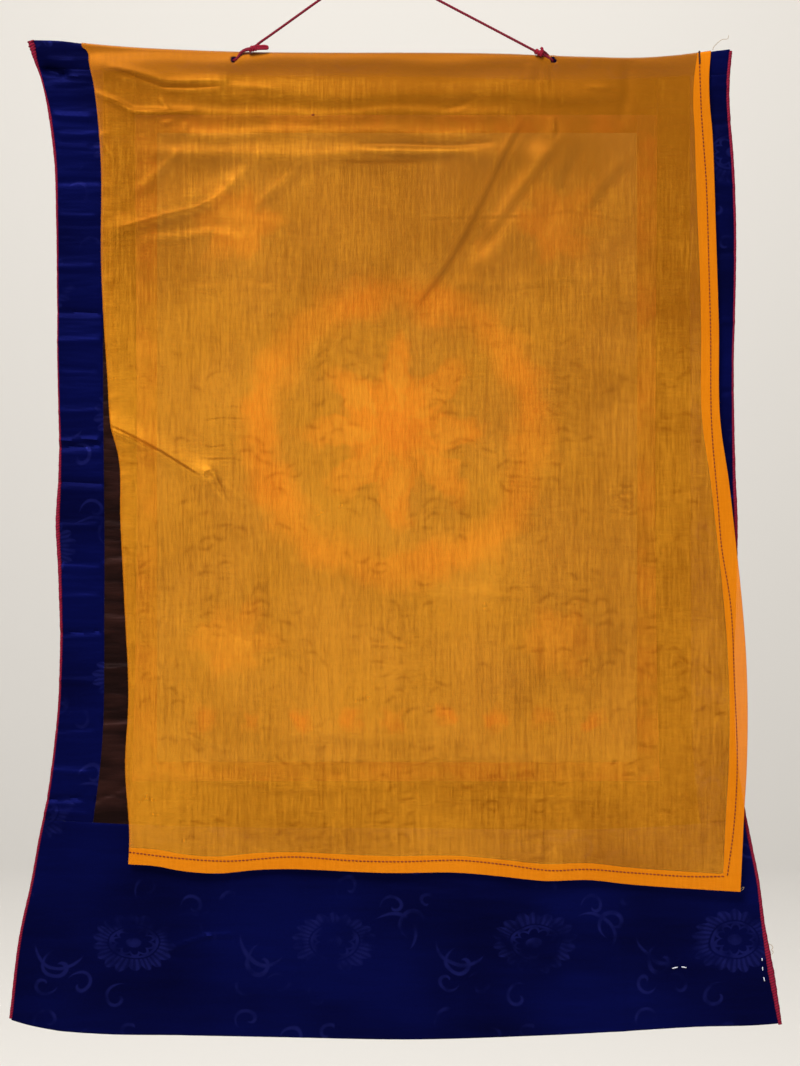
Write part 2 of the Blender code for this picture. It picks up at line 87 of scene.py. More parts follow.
world = bpy.data.worlds.new("room_light")
world.use_nodes = True
world.node_tree.nodes["Background"].inputs["Color"].default_value = (*WORLD_LIGHT, 1.0)
bpy.context.scene.world = world

bpy.ops.object.select_all(action="DESELECT")
bpy.ops.mesh.primitive_plane_add(
    size=1, location=(0, (FLOOR_FRONT + FLOOR_BACK) / 2, -FLOOR_DROP)
)
floor = bpy.context.object
floor.name = "floor"
floor.scale = (ROOM_WIDTH, FLOOR_BACK - FLOOR_FRONT, 1)
bpy.ops.object.transform_apply(location=True, rotation=False, scale=True)
bpy.ops.object.mode_set(mode="EDIT")
floor_mesh = bmesh.from_edit_mesh(floor.data)
for edge in floor_mesh.edges:
    edge.select_set(min(point.co.y for point in edge.verts) > FLOOR_BACK - 0.01)
floor_mesh.select_flush_mode()
bpy.ops.mesh.extrude_region_move(TRANSFORM_OT_translate={"value": (0, 0, WALL_HEIGHT)})
floor_mesh = bmesh.from_edit_mesh(floor.data)
for edge in floor_mesh.edges:
    low = max(point.co.z for point in edge.verts) < -FLOOR_DROP + 0.01
    edge.select_set(low and min(point.co.y for point in edge.verts) > FLOOR_BACK - 0.01)
bpy.ops.mesh.bevel(offset=SWEEP_WIDTH, segments=16, affect="EDGES")
bpy.ops.object.mode_set(mode="OBJECT")
floor.data.shade_smooth()
paint = bpy.data.materials.new("pale_paint")
paint.use_nodes = True
paint.node_tree.nodes["Principled BSDF"].inputs["Base Color"].default_value = PALE_PAINT
paint.node_tree.nodes["Principled BSDF"].inputs["Roughness"].default_value = 0.9
floor.data.materials.append(paint)


# Hanging cord: three plies of crimson yarn, twisted, tied through the two eyelets and taut over its
# support. It runs from the left knot to the right one.
CORD_DIAMETER = 0.0022
CORD_ROUTE = (
    # x, y, z
    (-0.0943, -0.0050, -0.0667),
    (-0.0850, -0.0045, -0.0599),
    (-0.0740, -0.0039, -0.0519),
    (-0.0620, -0.0032, -0.0431),
    (-0.0500, -0.0026, -0.0343),
    (-0.0380, -0.0020, -0.0256),
    (-0.0260, -0.0013, -0.0168),
    (-0.0150, -0.0008, -0.0088),
    (-0.0080, -0.0004, -0.0037),
    (-0.0045, -0.0002, -0.0013),
    (-0.0020, 0.0000, 0.0004),
    (0.0004, 0.0000, 0.0011),
    (0.0028, 0.0000, 0.0006),
    (0.0060, -0.0002, -0.0010),
    (0.0110, -0.0004, -0.0037),
    (0.0220, -0.0008, -0.0095),
    (0.0360, -0.0013, -0.0170),
    (0.0520, -0.0019, -0.0255),
    (0.0700, -0.0025, -0.0351),
    (0.0880, -0.0032, -0.0447),
    (0.1060, -0.0038, -0.0543),
    (0.1230, -0.0044, -0.0634),
    (0.1405, -0.0050, -0.0727),
)
PLIES = 3
CORD_LAY = 0.0075  # length of one whole turn of a ply
PLY_RELIEF = 0.20
CORD_STEP = 0.00035
YARN_COLOURS = ((0.035, 0.0010, 0.0040), (0.215, 0.0060, 0.0230))  # painted shade in the valleys, the yarn's colour on the crests


class Value:
    """What a shader works out at each point of a surface. Python's operators on it add Math nodes."""

    def __init__(self, tree, socket):
        self.tree = tree
        self.socket = socket

    def node(self, kind, settings, sockets, output=0):
        """Adds a node: its settings first, then the values or links of its sockets."""
        made = self.tree.nodes.new(kind)
        for name, value in settings.items():
            setattr(made, name, value)
        for name, value in sockets.items():
            if isinstance(value, Value):
                self.tree.links.new(value.socket, made.inputs[name])
            else:
                made.inputs[name].default_value = value
        return Value(self.tree, made.outputs[output])

    def math(self, operation, *terms):
        return self.node("ShaderNodeMath", {"operation": operation}, dict(enumerate((self, *terms))))

    def __add__(self, other):
        return self.math("ADD", other)

    def __sub__(self, other):
        return self.math("SUBTRACT", other)

    def __mul__(self, other):
        return self.math("MULTIPLY", other)

    def __truediv__(self, other):
        return self.math("DIVIDE", other)

    def __rsub__(self, other):
        return (self * -1).math("ADD", other)

    def __abs__(self):
        return self.math("ABSOLUTE")

    __radd__ = __add__
    __rmul__ = __mul__

    def ease(self, low, high):
        """0 below low and 1 above high, smoothly; the other way round where low is the greater."""
        sockets = {"Value": self, "From Min": low, "From Max": high}
        return self.node("ShaderNodeMapRange", {"interpolation_type": "SMOOTHSTEP"}, sockets)

    def between(self, low, high):
        """A colour or number mixed from two, by this share."""
        low, high = ((*colour, 1.0) if isinstance(colour, tuple) else colour for colour in (low, high))
        return self.node("ShaderNodeMix", {"data_type": "RGBA"}, {0: self, 6: low, 7: high}, 2)

    def stretched(self, *scale):
        """A place measured in other units along x, y and z."""
        return self.node("ShaderNodeVectorMath", {"operation": "MULTIPLY"}, {0: self, 1: scale})

    def noise(self, detail=2.0, roughness=0.5):
        sockets = {"Vector": self, "Scale": 1.0, "Detail": detail, "Roughness": roughness}
        return self.node("ShaderNodeTexNoise", {}, sockets)


def new_finish(name, **constants):
    """A material with one shader whose even values are set, and the point of the piece that it colours."""
    material = bpy.data.materials.new(name)
    material.use_nodes = True
    shader = material.node_tree.nodes["Principled BSDF"]
    for socket, value in constants.items():
        shader.inputs[socket.replace("_", " ")].default_value = value
    place = Value(material.node_tree, None).node("ShaderNodeTexCoord", {}, {}, "Object")
    return material, place


def set_finish(material, height=None, **surface):
    """Links what changes over the surface to the shader, and raises it by a height in metres."""
    tree = material.node_tree
    shader = tree.nodes["Principled BSDF"]
    for socket, value in surface.items():
        tree.links.new(value.socket, shader.inputs[socket.replace("_", " ")])
    if height:
        bump = height.node("ShaderNodeBump", {}, {"Height": height, "Distance": 1.0})
        tree.links.new(bump.socket, shader.inputs["Normal"])


def read_point(place, name, kind="Fac"):
    """A number, or three, that the piece's own points carry."""
    return place.node("ShaderNodeAttribute", {"attribute_name": name}, {}, kind)


def along(table, at):
    """Reads a smooth curve through a table of (place, value) rows at the places asked for."""
    places, values = np.array(sorted(table)).T
    slopes = np.gradient(values, places)
    inside = np.clip(at, places[0], places[-1])
    start = np.clip(np.searchsorted(places, inside) - 1, 0, len(places) - 2)
    span = places[start + 1] - places[start]
    share = (inside - places[start]) / span
    ease = share**2 * (3 - 2 * share)
    rise = share * (1 - share) ** 2 * slopes[start] - share**2 * (1 - share) * slopes[start + 1]
    end_slope = np.where(at < places[0], slopes[0], slopes[-1])
    value = values[start] + (values[start + 1] - values[start]) * ease + span * rise
    return value + (at - inside) * end_slope


def smooth_route(points, step):
    """Points a short even step apart on a smooth curve through a route's own points."""
    points = np.array(points)
    lengths = np.linalg.norm(np.diff(points[:, :3], axis=0), axis=1)
    places = np.concatenate(([0.0], np.cumsum(lengths)))
    stations = np.linspace(0, places[-1], int(places[-1] / step) + 2)
    return np.column_stack([along(list(zip(places, values)), stations) for values in points.T])


def link_piece(name, data, material, slot, *nodes):
    """Puts a finished mesh or curve on the object, in place of the nodes that it stands for."""
    piece = bpy.data.objects.new(name, data)
    bpy.context.scene.collection.objects.link(piece)
    data.materials.append(material)
    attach(piece, "root")
    if nodes:
        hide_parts(*nodes)
    return piece


def yarn_tube(name, points, radii, lay, relief, material, slot, *nodes, plies=PLIES, sides=18):
    """A closed tube of twisted plies along a route. Its points carry how deep they lie between plies."""
    points = np.asarray(points)
    runs = np.gradient(points, axis=0)
    runs /= np.linalg.norm(runs, axis=1)[:, None]
    side = np.cross(runs[0], (0.0, 1.0, 0.0)) + 1e-6
    first = []
    for run in runs:
        side = side - run * (side @ run)
        side /= np.linalg.norm(side)
        first.append(side)
    first = np.array(first)
    second = np.cross(runs, first)
    lengths = np.concatenate(([0.0], np.cumsum(np.linalg.norm(np.diff(points, axis=0), axis=1))))
    angles = tau * np.arange(sides) / sides
    turned = angles[None] - tau * lengths[:, None] / lay
    valley = 1 - np.abs(np.cos(plies * turned / 2))
    spread = (np.asarray(radii)[:, None] * (1 - relief * valley))[..., None]
    ring = np.cos(angles)[None, :, None] * first[:, None] + np.sin(angles)[None, :, None] * second[:, None]
    surface = (points[:, None] + spread * ring).reshape(-1, 3)
    number = np.arange(len(surface)).reshape(-1, sides)
    ahead = np.roll(number, -1, axis=1)
    faces = np.stack([number[:-1], ahead[:-1], ahead[1:], number[1:]], -1).reshape(-1, 4).tolist()
    faces += [number[0][::-1].tolist(), number[-1].tolist()]
    data = bpy.data.meshes.new(name)
    data.from_pydata(surface.tolist(), [], faces)
    data.attributes.new("valley", "FLOAT", "POINT").data.foreach_set("value", valley.ravel())
    data.shade_smooth()
    return link_piece(name, data, material, slot, *nodes)


def yarn_finish(name, colours, fuzz):
    """Dull spun yarn: painted shade between the plies, and mottled by loose fibres."""
    material, place = new_finish(name, Roughness=0.85, Specular_IOR_Level=0.2)
    valley = read_point(place, "valley")
    fibres = place.stretched(2600, 2600, 2600).noise(3.0)
    colour = (valley * -1.1 + 1.05 - fibres * 0.35 + fuzz).ease(0.0, 1.0).between(*colours)
    set_finish(material, Base_Color=colour, height=fibres * 0.00012)
    return material


yarn = yarn_finish("crimson_yarn", YARN_COLOURS, 0.15)
COVERED_START = (-0.0980, -0.0056, -0.0702)  # both ends run on into their knots
COVERED_END = (0.1428, -0.0056, -0.0740)
cord_line = smooth_route((COVERED_START, *CORD_ROUTE, COVERED_END), CORD_STEP)
cord_radii = np.full(len(cord_line), CORD_DIAMETER / 2 * 1.06)
cord = yarn_tube(
    "hanging_yarn", cord_line, cord_radii, CORD_LAY, PLY_RELIEF, yarn, "cord_yarn", "hanging_cord"
)


# Cord ends: each end goes down through its eyelet, comes up behind the top edge and is tied to itself
# with two turns. The left knot has a thick folded tail, and the right one a short upright tail.
LOOP_ROUTES = {
    # x, y, drop
    "left": (
        (-0.1017, -0.0050, 0.0716),
        (-0.1048, -0.0046, 0.0720),
        (-0.1078, -0.0042, 0.0732),
        (-0.1100, -0.0040, 0.0752),
        (-0.1116, -0.0040, 0.0778),
        (-0.1134, -0.0039, 0.0796),
        (-0.1150, -0.0024, 0.0800),
        (-0.1154, -0.0004, 0.0797),
        (-0.1154, 0.0014, 0.0796),
        (-0.1152, 0.0034, 0.0788),
        (-0.1140, 0.0044, 0.0768),
        (-0.1120, 0.0045, 0.0744),
        (-0.1096, 0.0042, 0.0720),
        (-0.1068, 0.0034, 0.0702),
        (-0.1036, 0.0018, 0.0694),
        (-0.1008, -0.0004, 0.0696),
        (-0.0992, -0.0019, 0.0702),
    ),
    "right": (
        (0.1467, -0.0049, 0.0751),
        (0.1500, -0.0042, 0.0769),
        (0.1524, -0.0040, 0.0784),
        (0.1544, -0.0036, 0.0797),
        (0.1555, -0.0020, 0.0803),
        (0.1557, -0.0002, 0.0803),
        (0.1557, 0.0016, 0.0801),
        (0.1553, 0.0035, 0.0792),
        (0.1541, 0.0045, 0.0773),
        (0.1525, 0.0046, 0.0752),
        (0.1506, 0.0038, 0.0733),
        (0.1486, 0.0020, 0.0722),
        (0.1468, 0.0000, 0.0720),
        (0.1453, -0.0027, 0.0727),
    ),
}
KNOT_WRAPS = {
    # axis start and end as x, y, drop; turns; how far the wraps stand from the axis
    "left": ((-0.1016, -0.0056, 0.0713), (-0.0962, -0.0056, 0.0702), 2.4, 0.00150),
    "right": ((0.1404, -0.0056, 0.0728), (0.1454, -0.0056, 0.0752), 2.2, 0.00150),
}
KNOT_TAILS = {
    # x, y, drop
    "left": (
        (-0.0950, -0.0060, 0.0692),
        (-0.0928, -0.0060, 0.0690),
        (-0.0902, -0.0056, 0.0688),
        (-0.0880, -0.0050, 0.0688),
        (-0.0868, -0.0047, 0.0692),
        (-0.0864, -0.0046, 0.0698),
        (-0.0868, -0.0047, 0.0704),
        (-0.0886, -0.0052, 0.0706),
        (-0.0912, -0.0058, 0.0708),
        (-0.0942, -0.0062, 0.0710),
        (-0.0965, -0.0058, 0.0711),
    ),
    "right": (
        (0.1462, -0.0062, 0.0742),
        (0.1466, -0.0063, 0.0728),
        (0.1463, -0.0062, 0.0713),
        (0.1455, -0.0059, 0.0701),
    ),
}
KNOT_REACH = 0.00135
WRAP_TURN_STEPS = 12
WRAP_LAY = 0.0060
WRAP_RELIEF = 0.24
# painted shade in the valleys between the plies, and the yarn's colour on the crests
TIED_COLOURS = ((0.060, 0.0010, 0.0050), (0.300, 0.0075, 0.0270))

tied_yarn = yarn_finish("tied_yarn", TIED_COLOURS, 0.20)
for side, route in LOOP_ROUTES.items():
    line = smooth_route(route, CORD_STEP) * (1, 1, -1)
    radii = np.full(len(line), CORD_DIAMETER / 2 * 1.06)
    yarn_tube(
            f"loop_yarn_{side}", line, radii, CORD_LAY, PLY_RELIEF, yarn, "cord_yarn", f"cord_loop_{side}"
        )
    first, last, turns, stand = KNOT_WRAPS[side]
    share = np.linspace(0, 1, round(turns * WRAP_TURN_STEPS))[:, None]
    axis = np.array(first) + (np.array(last) - first) * share
    turned = tau * turns * share[:, 0]
    wraps = axis + stand * np.column_stack([0 * turned, -np.cos(turned), np.sin(turned)])
    line = smooth_route((*wraps, *KNOT_TAILS[side]), CORD_STEP) * (1, 1, -1)
    yarn_tube(
            f"knot_yarn_{side}",
            line,
            np.full(len(line), KNOT_REACH),
            WRAP_LAY,
            WRAP_RELIEF,
            tied_yarn,
            "cord_yarn",
            f"cord_knot_{side}",
            sides=12,
        )


# Navy damask: the heading, the two side panels and the deep flared foot, cut from one heavy silk with a
# tone-on-tone pattern of round many-petalled flowers and curling clouds, and seamed with tight stitches.
MOUNT_THICK = 0.0015
TOP_DROP = 0.0700
FOOT_DROP = 0.9100
SETTLE_ROUNDS = 12  # rounds that place a point between two upright and two level lines
UPRIGHT_LINES = {
    # drop, x
    "left edge": (
        (0.0624, -0.2912),
        (0.0720, -0.2882),
        (0.0964, -0.2792),
        (0.1304, -0.2724),
        (0.1644, -0.2682),
        (0.2154, -0.2665),
        (0.3259, -0.2656),
        (0.4364, -0.2648),
        (0.4704, -0.2668),
        (0.5129, -0.2648),
        (0.5724, -0.2631),
        (0.6149, -0.2639),
        (0.6574, -0.2673),
        (0.7084, -0.2741),
        (0.7424, -0.2809),
        (0.7764, -0.2869),
        (0.8189, -0.2962),
        (0.8937, -0.3056),
    ),
    "right edge": (
        (0.0700, 0.3087),
        (0.0964, 0.3063),
        (0.1304, 0.3071),
        (0.1644, 0.3097),
        (0.2069, 0.3114),
        (0.3684, 0.3098),
        (0.4364, 0.3115),
        (0.4704, 0.3132),
        (0.5214, 0.3124),
        (0.6064, 0.3107),
        (0.6744, 0.3132),
        (0.7126, 0.3192),
        (0.7424, 0.3251),
        (0.7764, 0.3319),
        (0.8146, 0.3370),
        (0.8571, 0.3450),
        (0.8988, 0.3510),
    ),
    "left seam": (
        (0.1049, -0.2261),
        (0.3514, -0.2265),
        (0.5384, -0.2253),
        (0.6744, -0.2282),
        (0.7296, -0.2350),
    ),
    "right seam": (
        (0.1049, 0.2724),
        (0.3514, 0.2724),
        (0.5384, 0.2733),
        (0.6744, 0.2758),
        (0.7296, 0.2818),
    ),
    "left brown": ((0.1049, -0.1993), (0.6000, -0.1993), (0.7296, -0.2027)),
    "right brown": ((0.1049, 0.2444), (0.6000, 0.2444), (0.7296, 0.2480)),
    "left red": ((0.1261, -0.1806), (0.6922, -0.1806)),
    "right red": ((0.1261, 0.2274), (0.6922, 0.2274)),
}
LEVEL_LINES = {
    # x, drop
    "top edge": (
        (-0.2903, 0.0624),
        (-0.2631, 0.0632),
        (-0.2376, 0.0662),
        (-0.1951, 0.0696),
        (-0.1611, 0.0713),
        (-0.1143, 0.0730),
        (-0.0251, 0.0739),
        (0.0429, 0.0739),
        (0.1109, 0.0747),
        (0.1789, 0.0773),
        (0.2299, 0.0781),
        (0.2639, 0.0756),
        (0.2903, 0.0722),
        (0.3081, 0.0700),
    ),
    "heading seam": (
        (-0.2903, 0.0850),
        (-0.2100, 0.0890),
        (-0.1100, 0.0925),
        (0.0400, 0.0938),
        (0.1800, 0.0962),
        (0.3081, 0.0915),
    ),
    "top brown": ((-0.2027, 0.1261), (0.2480, 0.1261)),
    "top red": ((-0.1806, 0.1414), (0.2274, 0.1414)),
    "bottom red": ((-0.1806, 0.6761), (0.2274, 0.6761)),
    "bottom brown": ((-0.2027, 0.6922), (0.2480, 0.6922)),
    "foot seam": (
        (-0.2758, 0.7245),
        (-0.2053, 0.7288),
        (0.0259, 0.7322),
        (0.2724, 0.7296),
        (0.3217, 0.7253),
    ),
    "foot edge": (
        (-0.3056, 0.8937),
        (-0.2886, 0.8988),
        (-0.2631, 0.9039),
        (-0.2291, 0.9073),
        (-0.1611, 0.9094),
        (-0.0591, 0.9107),
        (0.0429, 0.9120),
        (0.1449, 0.9086),
        (0.2129, 0.9056),
        (0.2809, 0.9022),
        (0.3319, 0.9005),
        (0.3498, 0.8988),
    ),
}
BINDING_WIDTHS = {
    # drop, diameter
    "left edge": (
        (0.0600, 0.0058),
        (0.0700, 0.0054),
        (0.0820, 0.0028),
        (0.1300, 0.0026),
        (0.4300, 0.0026),
        (0.4700, 0.0038),
        (0.5150, 0.0032),
        (0.5600, 0.0026),
        (0.9000, 0.0028),
    ),
    "right edge": (
        (0.0700, 0.0030),
        (0.4200, 0.0026),
        (0.4700, 0.0034),
        (0.5300, 0.0028),
        (0.7000, 0.0032),
        (0.8200, 0.0036),
        (0.8560, 0.0056),
        (0.8800, 0.0044),
        (0.9000, 0.0032),
    ),
}
WAVE_GROWTH = 1.3
WAVES = (
    # wave length across and down, depth at the foot, phase in turns
    (0.430, 1.900, 0.0032, 0.10),
    (0.240, -2.400, 0.0014, 0.35),
    (1.100, 0.800, 0.0026, 0.05),
)
CREASE_REACH = 0.0300
SIDE_CREASES = (
    # side, drop, depth, half height
    ("left edge", 0.0900, 0.0018, 0.010),
    ("left edge", 0.1220, 0.0012, 0.012),
    ("left edge", 0.2980, 0.0015, 0.014),
    ("left edge", 0.4060, 0.0018, 0.014),
    ("left edge", 0.5720, 0.0016, 0.014),
    ("left edge", 0.6300, 0.0012, 0.014),
    ("right edge", 0.1150, 0.0014, 0.012),
    ("right edge", 0.3300, 0.0015, 0.014),
    ("right edge", 0.4800, 0.0014, 0.014),
)
# Creases in the mount's cloth. Each row: x and drop at its start and end, height, half width. A height
# below zero is a trough.
MOUNT_CREASES = (
    (-0.272, 0.0800, -0.252, 0.0815, 0.0006, 0.0022),
    (-0.2750, 0.0868, -0.2605, 0.0908, -0.0019, 0.0034),
    (-0.268, 0.0930, -0.236, 0.0935, 0.0006, 0.0016),
    (-0.266, 0.0995, -0.240, 0.0985, 0.0005, 0.0016),
    (-0.266, 0.1262, -0.238, 0.1285, 0.0008, 0.0024),
    (-0.262, 0.1440, -0.232, 0.1432, 0.0006, 0.0022),
    (-0.264, 0.1525, -0.240, 0.1532, 0.0005, 0.0016),
    (-0.262, 0.1830, -0.232, 0.1822, -0.0005, 0.0022),
    (-0.262, 0.2120, -0.234, 0.2128, 0.0005, 0.0020),
    (-0.264, 0.2560, -0.236, 0.2550, 0.0005, 0.0024),
    (-0.264, 0.2936, -0.230, 0.2946, -0.0008, 0.0020),
    (-0.264, 0.3190, -0.230, 0.3180, 0.0006, 0.0022),
    (-0.262, 0.3412, -0.232, 0.3420, -0.0006, 0.0020),
    (-0.264, 0.3790, -0.234, 0.3780, 0.0005, 0.0024),
    (-0.264, 0.4030, -0.230, 0.4015, 0.0009, 0.0018),
    (-0.264, 0.4085, -0.230, 0.4070, -0.0009, 0.0018),
    (-0.264, 0.4381, -0.228, 0.4392, -0.0008, 0.0022),
    (-0.262, 0.4760, -0.232, 0.4750, 0.0006, 0.0024),
    (-0.262, 0.5060, -0.230, 0.5072, -0.0006, 0.0020),
    (-0.262, 0.5360, -0.230, 0.5350, 0.0005, 0.0022),
    (-0.262, 0.5665, -0.230, 0.5650, -0.0009, 0.0022),
    (-0.262, 0.6064, -0.232, 0.6076, 0.0007, 0.0024),
    (-0.266, 0.6480, -0.236, 0.6470, -0.0006, 0.0022),
    (-0.272, 0.6830, -0.240, 0.6850, 0.0006, 0.0024),
    (-0.276, 0.7080, -0.246, 0.7062, -0.0010, 0.0026),
    (-0.278, 0.7180, -0.240, 0.7200, 0.0007, 0.0022),
    (0.282, 0.1010, 0.304, 0.1022, 0.0006, 0.0022),
    (0.286, 0.1340, 0.306, 0.1330, -0.0006, 0.0022),
    (0.290, 0.1850, 0.308, 0.1862, 0.0006, 0.0024),
    (0.290, 0.2440, 0.309, 0.2428, -0.0006, 0.0024),
    (0.292, 0.3010, 0.308, 0.3024, 0.0007, 0.0022),
    (0.294, 0.3620, 0.308, 0.3608, -0.0007, 0.0024),
    (0.298, 0.4180, 0.310, 0.4190, 0.0006, 0.0022),
    (-0.222, 0.4000, -0.208, 0.4060, -0.0005, 0.0030),
    (-0.223, 0.4690, -0.204, 0.4715, -0.0007, 0.0030),
    (-0.224, 0.5080, -0.203, 0.5060, 0.0006, 0.0034),
    (-0.223, 0.5480, -0.203, 0.5520, -0.0007, 0.0030),
    (-0.224, 0.5980, -0.203, 0.5950, 0.0006, 0.0034),
    (-0.226, 0.6420, -0.204, 0.6390, -0.0007, 0.0026),
    (-0.232, 0.7080, -0.206, 0.6960, -0.0007, 0.0022),
    (-0.232, 0.7170, -0.210, 0.7140, 0.0005, 0.0024),
    (-0.169, 0.8350, -0.138, 0.8240, 0.0007, 0.0018),
    (-0.138, 0.8240, -0.119, 0.8230, 0.0006, 0.0018),
    (-0.1180, 0.7700, -0.1165, 0.9080, 0.0004, 0.0013),
    (-0.1340, 0.7800, -0.1335, 0.9080, 0.0003, 0.0013),
    (-0.0565, 0.7800, -0.0560, 0.9100, 0.0003, 0.0013),
    (0.0800, 0.7900, 0.0830, 0.9050, -0.0004, 0.0040),
    (0.2100, 0.8000, 0.2140, 0.9020, 0.0005, 0.0060),
    (-0.2500, 0.7600, -0.2640, 0.9000, 0.0006, 0.0070),
    (0.0200, 0.7850, 0.1500, 0.7980, 0.0005, 0.0050),
)
CREASE_DEPTH = 2.3
SEAM_ROLL = 0.0011
SEAM_SINK = 0.0004
PUCKER_STEP = 0.0125
PUCKER_DEPTH = 0.00016
PUCKER_REACH = 0.0060
ROLLED_HEM = 0.0024
CLOTH_PITCH = 0.0022
SEAM_STATIONS = (0.0, 0.0004, 0.0008, 0.0013, 0.0020)
TOUCH_GAP = 0.00004
TUCK = 0.0007  # how far a panel goes in under the binding's roll
SHARP_ANGLE = radians(50)
Panel = namedtuple("Panel", "piece node left right upper lower width height")
NAVY_PANELS = (
    Panel("damask_heading", "navy_heading", "left edge", "right edge", "top edge", "heading seam", 0.60, 0.020),
    Panel("damask_left", "navy_side_left", "left edge", "left seam", "heading seam", "foot seam", 0.042, 0.64),
    Panel("damask_right", "navy_side_right", "right seam", "right edge", "heading seam", "foot seam", 0.038, 0.64),
    Panel("damask_foot", "navy_foot", "left edge", "right edge", "foot seam", "foot edge", 0.63, 0.178),
)


def binding_width(edge, drop):
    table = BINDING_WIDTHS[edge]
    return along(table, np.clip(drop, table[0][0], table[-1][0]))


def line_inset(line, drop):
    """How far a panel stops short of an upright line: by the binding there, or by a closed seam."""
    return binding_width(line, drop) - TUCK if line in BINDING_WIDTHS else TOUCH_GAP


def panel_point(panel, across, down):
    """x and drop at a share across and down a panel, between its four lines."""
    drop = TOP_DROP + (FOOT_DROP - TOP_DROP) * down
    for _ in range(SETTLE_ROUNDS):
        left = along(UPRIGHT_LINES[panel.left], drop) + line_inset(panel.left, drop)
        right = along(UPRIGHT_LINES[panel.right], drop) - line_inset(panel.right, drop)
        x = left + (right - left) * across
        upper = along(LEVEL_LINES[panel.upper], x) + TOUCH_GAP
        lower = along(LEVEL_LINES[panel.lower], x) - TOUCH_GAP
        drop = upper + (lower - upper) * down
    return x, drop


def slow_waves(x, drop):
    """Depth of the mount's slow waves, positive away from the viewer."""
    growth = np.clip((drop - TOP_DROP) / (FOOT_DROP - TOP_DROP), 0, 1) ** WAVE_GROWTH
    depth = 0
    for wide, tall, foot_depth, phase in WAVES:
        depth = depth + foot_depth * np.sin(tau * (x / wide + drop / tall + phase))
    return growth * depth


def ridges(rows, x, drop):
    """Height of straight soft creases, positive towards the viewer."""
    height = np.zeros_like(x)
    for start_x, start_drop, end_x, end_drop, rise, half_width in rows:
        run_x, run_drop = end_x - start_x, end_drop - start_drop
        share = ((x - start_x) * run_x + (drop - start_drop) * run_drop) / (run_x**2 + run_drop**2)
        share = np.clip(share, 0, 1)
        away = np.hypot(x - start_x - share * run_x, drop - start_drop - share * run_drop)
        height = height + rise * np.exp(-((away / half_width) ** 2))
    return height


def mount_face(x, drop):
    """y of the mount's front face, with its waves and creases."""
    y = slow_waves(x, drop) - MOUNT_THICK / 2 - CREASE_DEPTH * ridges(MOUNT_CREASES, x, drop)
    for side, place, depth, half_height in SIDE_CREASES:
        inward = (x - along(UPRIGHT_LINES[side], drop)) / CREASE_REACH
        y = y + depth * np.exp(-(((drop - place) / half_height) ** 2) - inward**2)
    return y


def seam_dress(panel, x, drop):
    """How far the face sinks into the seams round a panel, and puckers beside them."""
    gaps = (
        (x - along(UPRIGHT_LINES[panel.left], drop) - line_inset(panel.left, drop), drop),
        (along(UPRIGHT_LINES[panel.right], drop) - line_inset(panel.right, drop) - x, drop),
        (drop - along(LEVEL_LINES[panel.upper], x), x),
        (along(LEVEL_LINES[panel.lower], x) - drop, x),
    )
    sink = 0
    for away, run in gaps:
        puckers = np.sin(tau * run / PUCKER_STEP + 3 * np.sin(run * 61)) * np.sin(run * 37 + 1)
        sink = sink + SEAM_SINK * np.exp(-((away / SEAM_ROLL) ** 2))
        sink = sink + PUCKER_DEPTH * puckers * np.exp(-((away / PUCKER_REACH) ** 2))
    if panel.lower == "foot edge":
        hem = gaps[3][0] / ROLLED_HEM
        sink = sink - 0.0004 * np.exp(-((hem - 0.5) ** 2) * 6) + 0.0003 * np.exp(-((hem - 1.4) ** 2) * 9)
    return sink


def stations(length, pitch):
    """Shares of a length, an even pitch apart, with close ones by both ends to round them."""
    ends = np.array(SEAM_STATIONS)
    body = np.linspace(ends[-1], length - ends[-1], max(2, round((length - 2 * ends[-1]) / pitch) + 1))
    return np.concatenate((ends[:-1], body, length - ends[-2::-1])) / length


def closed_sheet(name, front, back):
    """A closed mesh between a front and a back grid, each rows by columns by x, y, z."""
    rows, columns = front.shape[:2]
    number = np.arange(rows * columns).reshape(rows, columns)

    def quads(n):
        return np.stack([n[:-1, :-1], n[1:, :-1], n[1:, 1:], n[:-1, 1:]], -1).reshape(-1, 4)

    behind = number + rows * columns
    ring = np.concatenate((number[0, :-1], number[:-1, -1], number[-1, :0:-1], number[:0:-1, 0]))
    ahead = np.roll(ring, -1)
    rim = np.stack([ring, ahead, ahead + rows * columns, ring + rows * columns], -1)
    data = bpy.data.meshes.new(name)
    points = np.concatenate((front.reshape(-1, 3), back.reshape(-1, 3)))
    faces = np.concatenate((quads(number), quads(behind)[:, ::-1], rim))
    data.from_pydata(points.tolist(), [], faces.tolist())
    data.shade_smooth()
    data.set_sharp_from_angle(angle=SHARP_ANGLE)
    return data


def mount_panel(panel, material, slot, pitch=CLOTH_PITCH):
    """One cut panel of the mount, as a closed sheet on the mount's waves."""
    across = stations(panel.width, pitch)
    down = stations(panel.height, pitch)
    x, drop = panel_point(panel, *np.meshgrid(across, down))
    face = mount_face(x, drop)
    front = np.stack([x, face + seam_dress(panel, x, drop), -drop], -1)
    back = np.stack([x, face + MOUNT_THICK, -drop], -1)
    piece = link_piece(panel.piece, closed_sheet(panel.piece, front, back), material, slot, panel.node)
    return piece


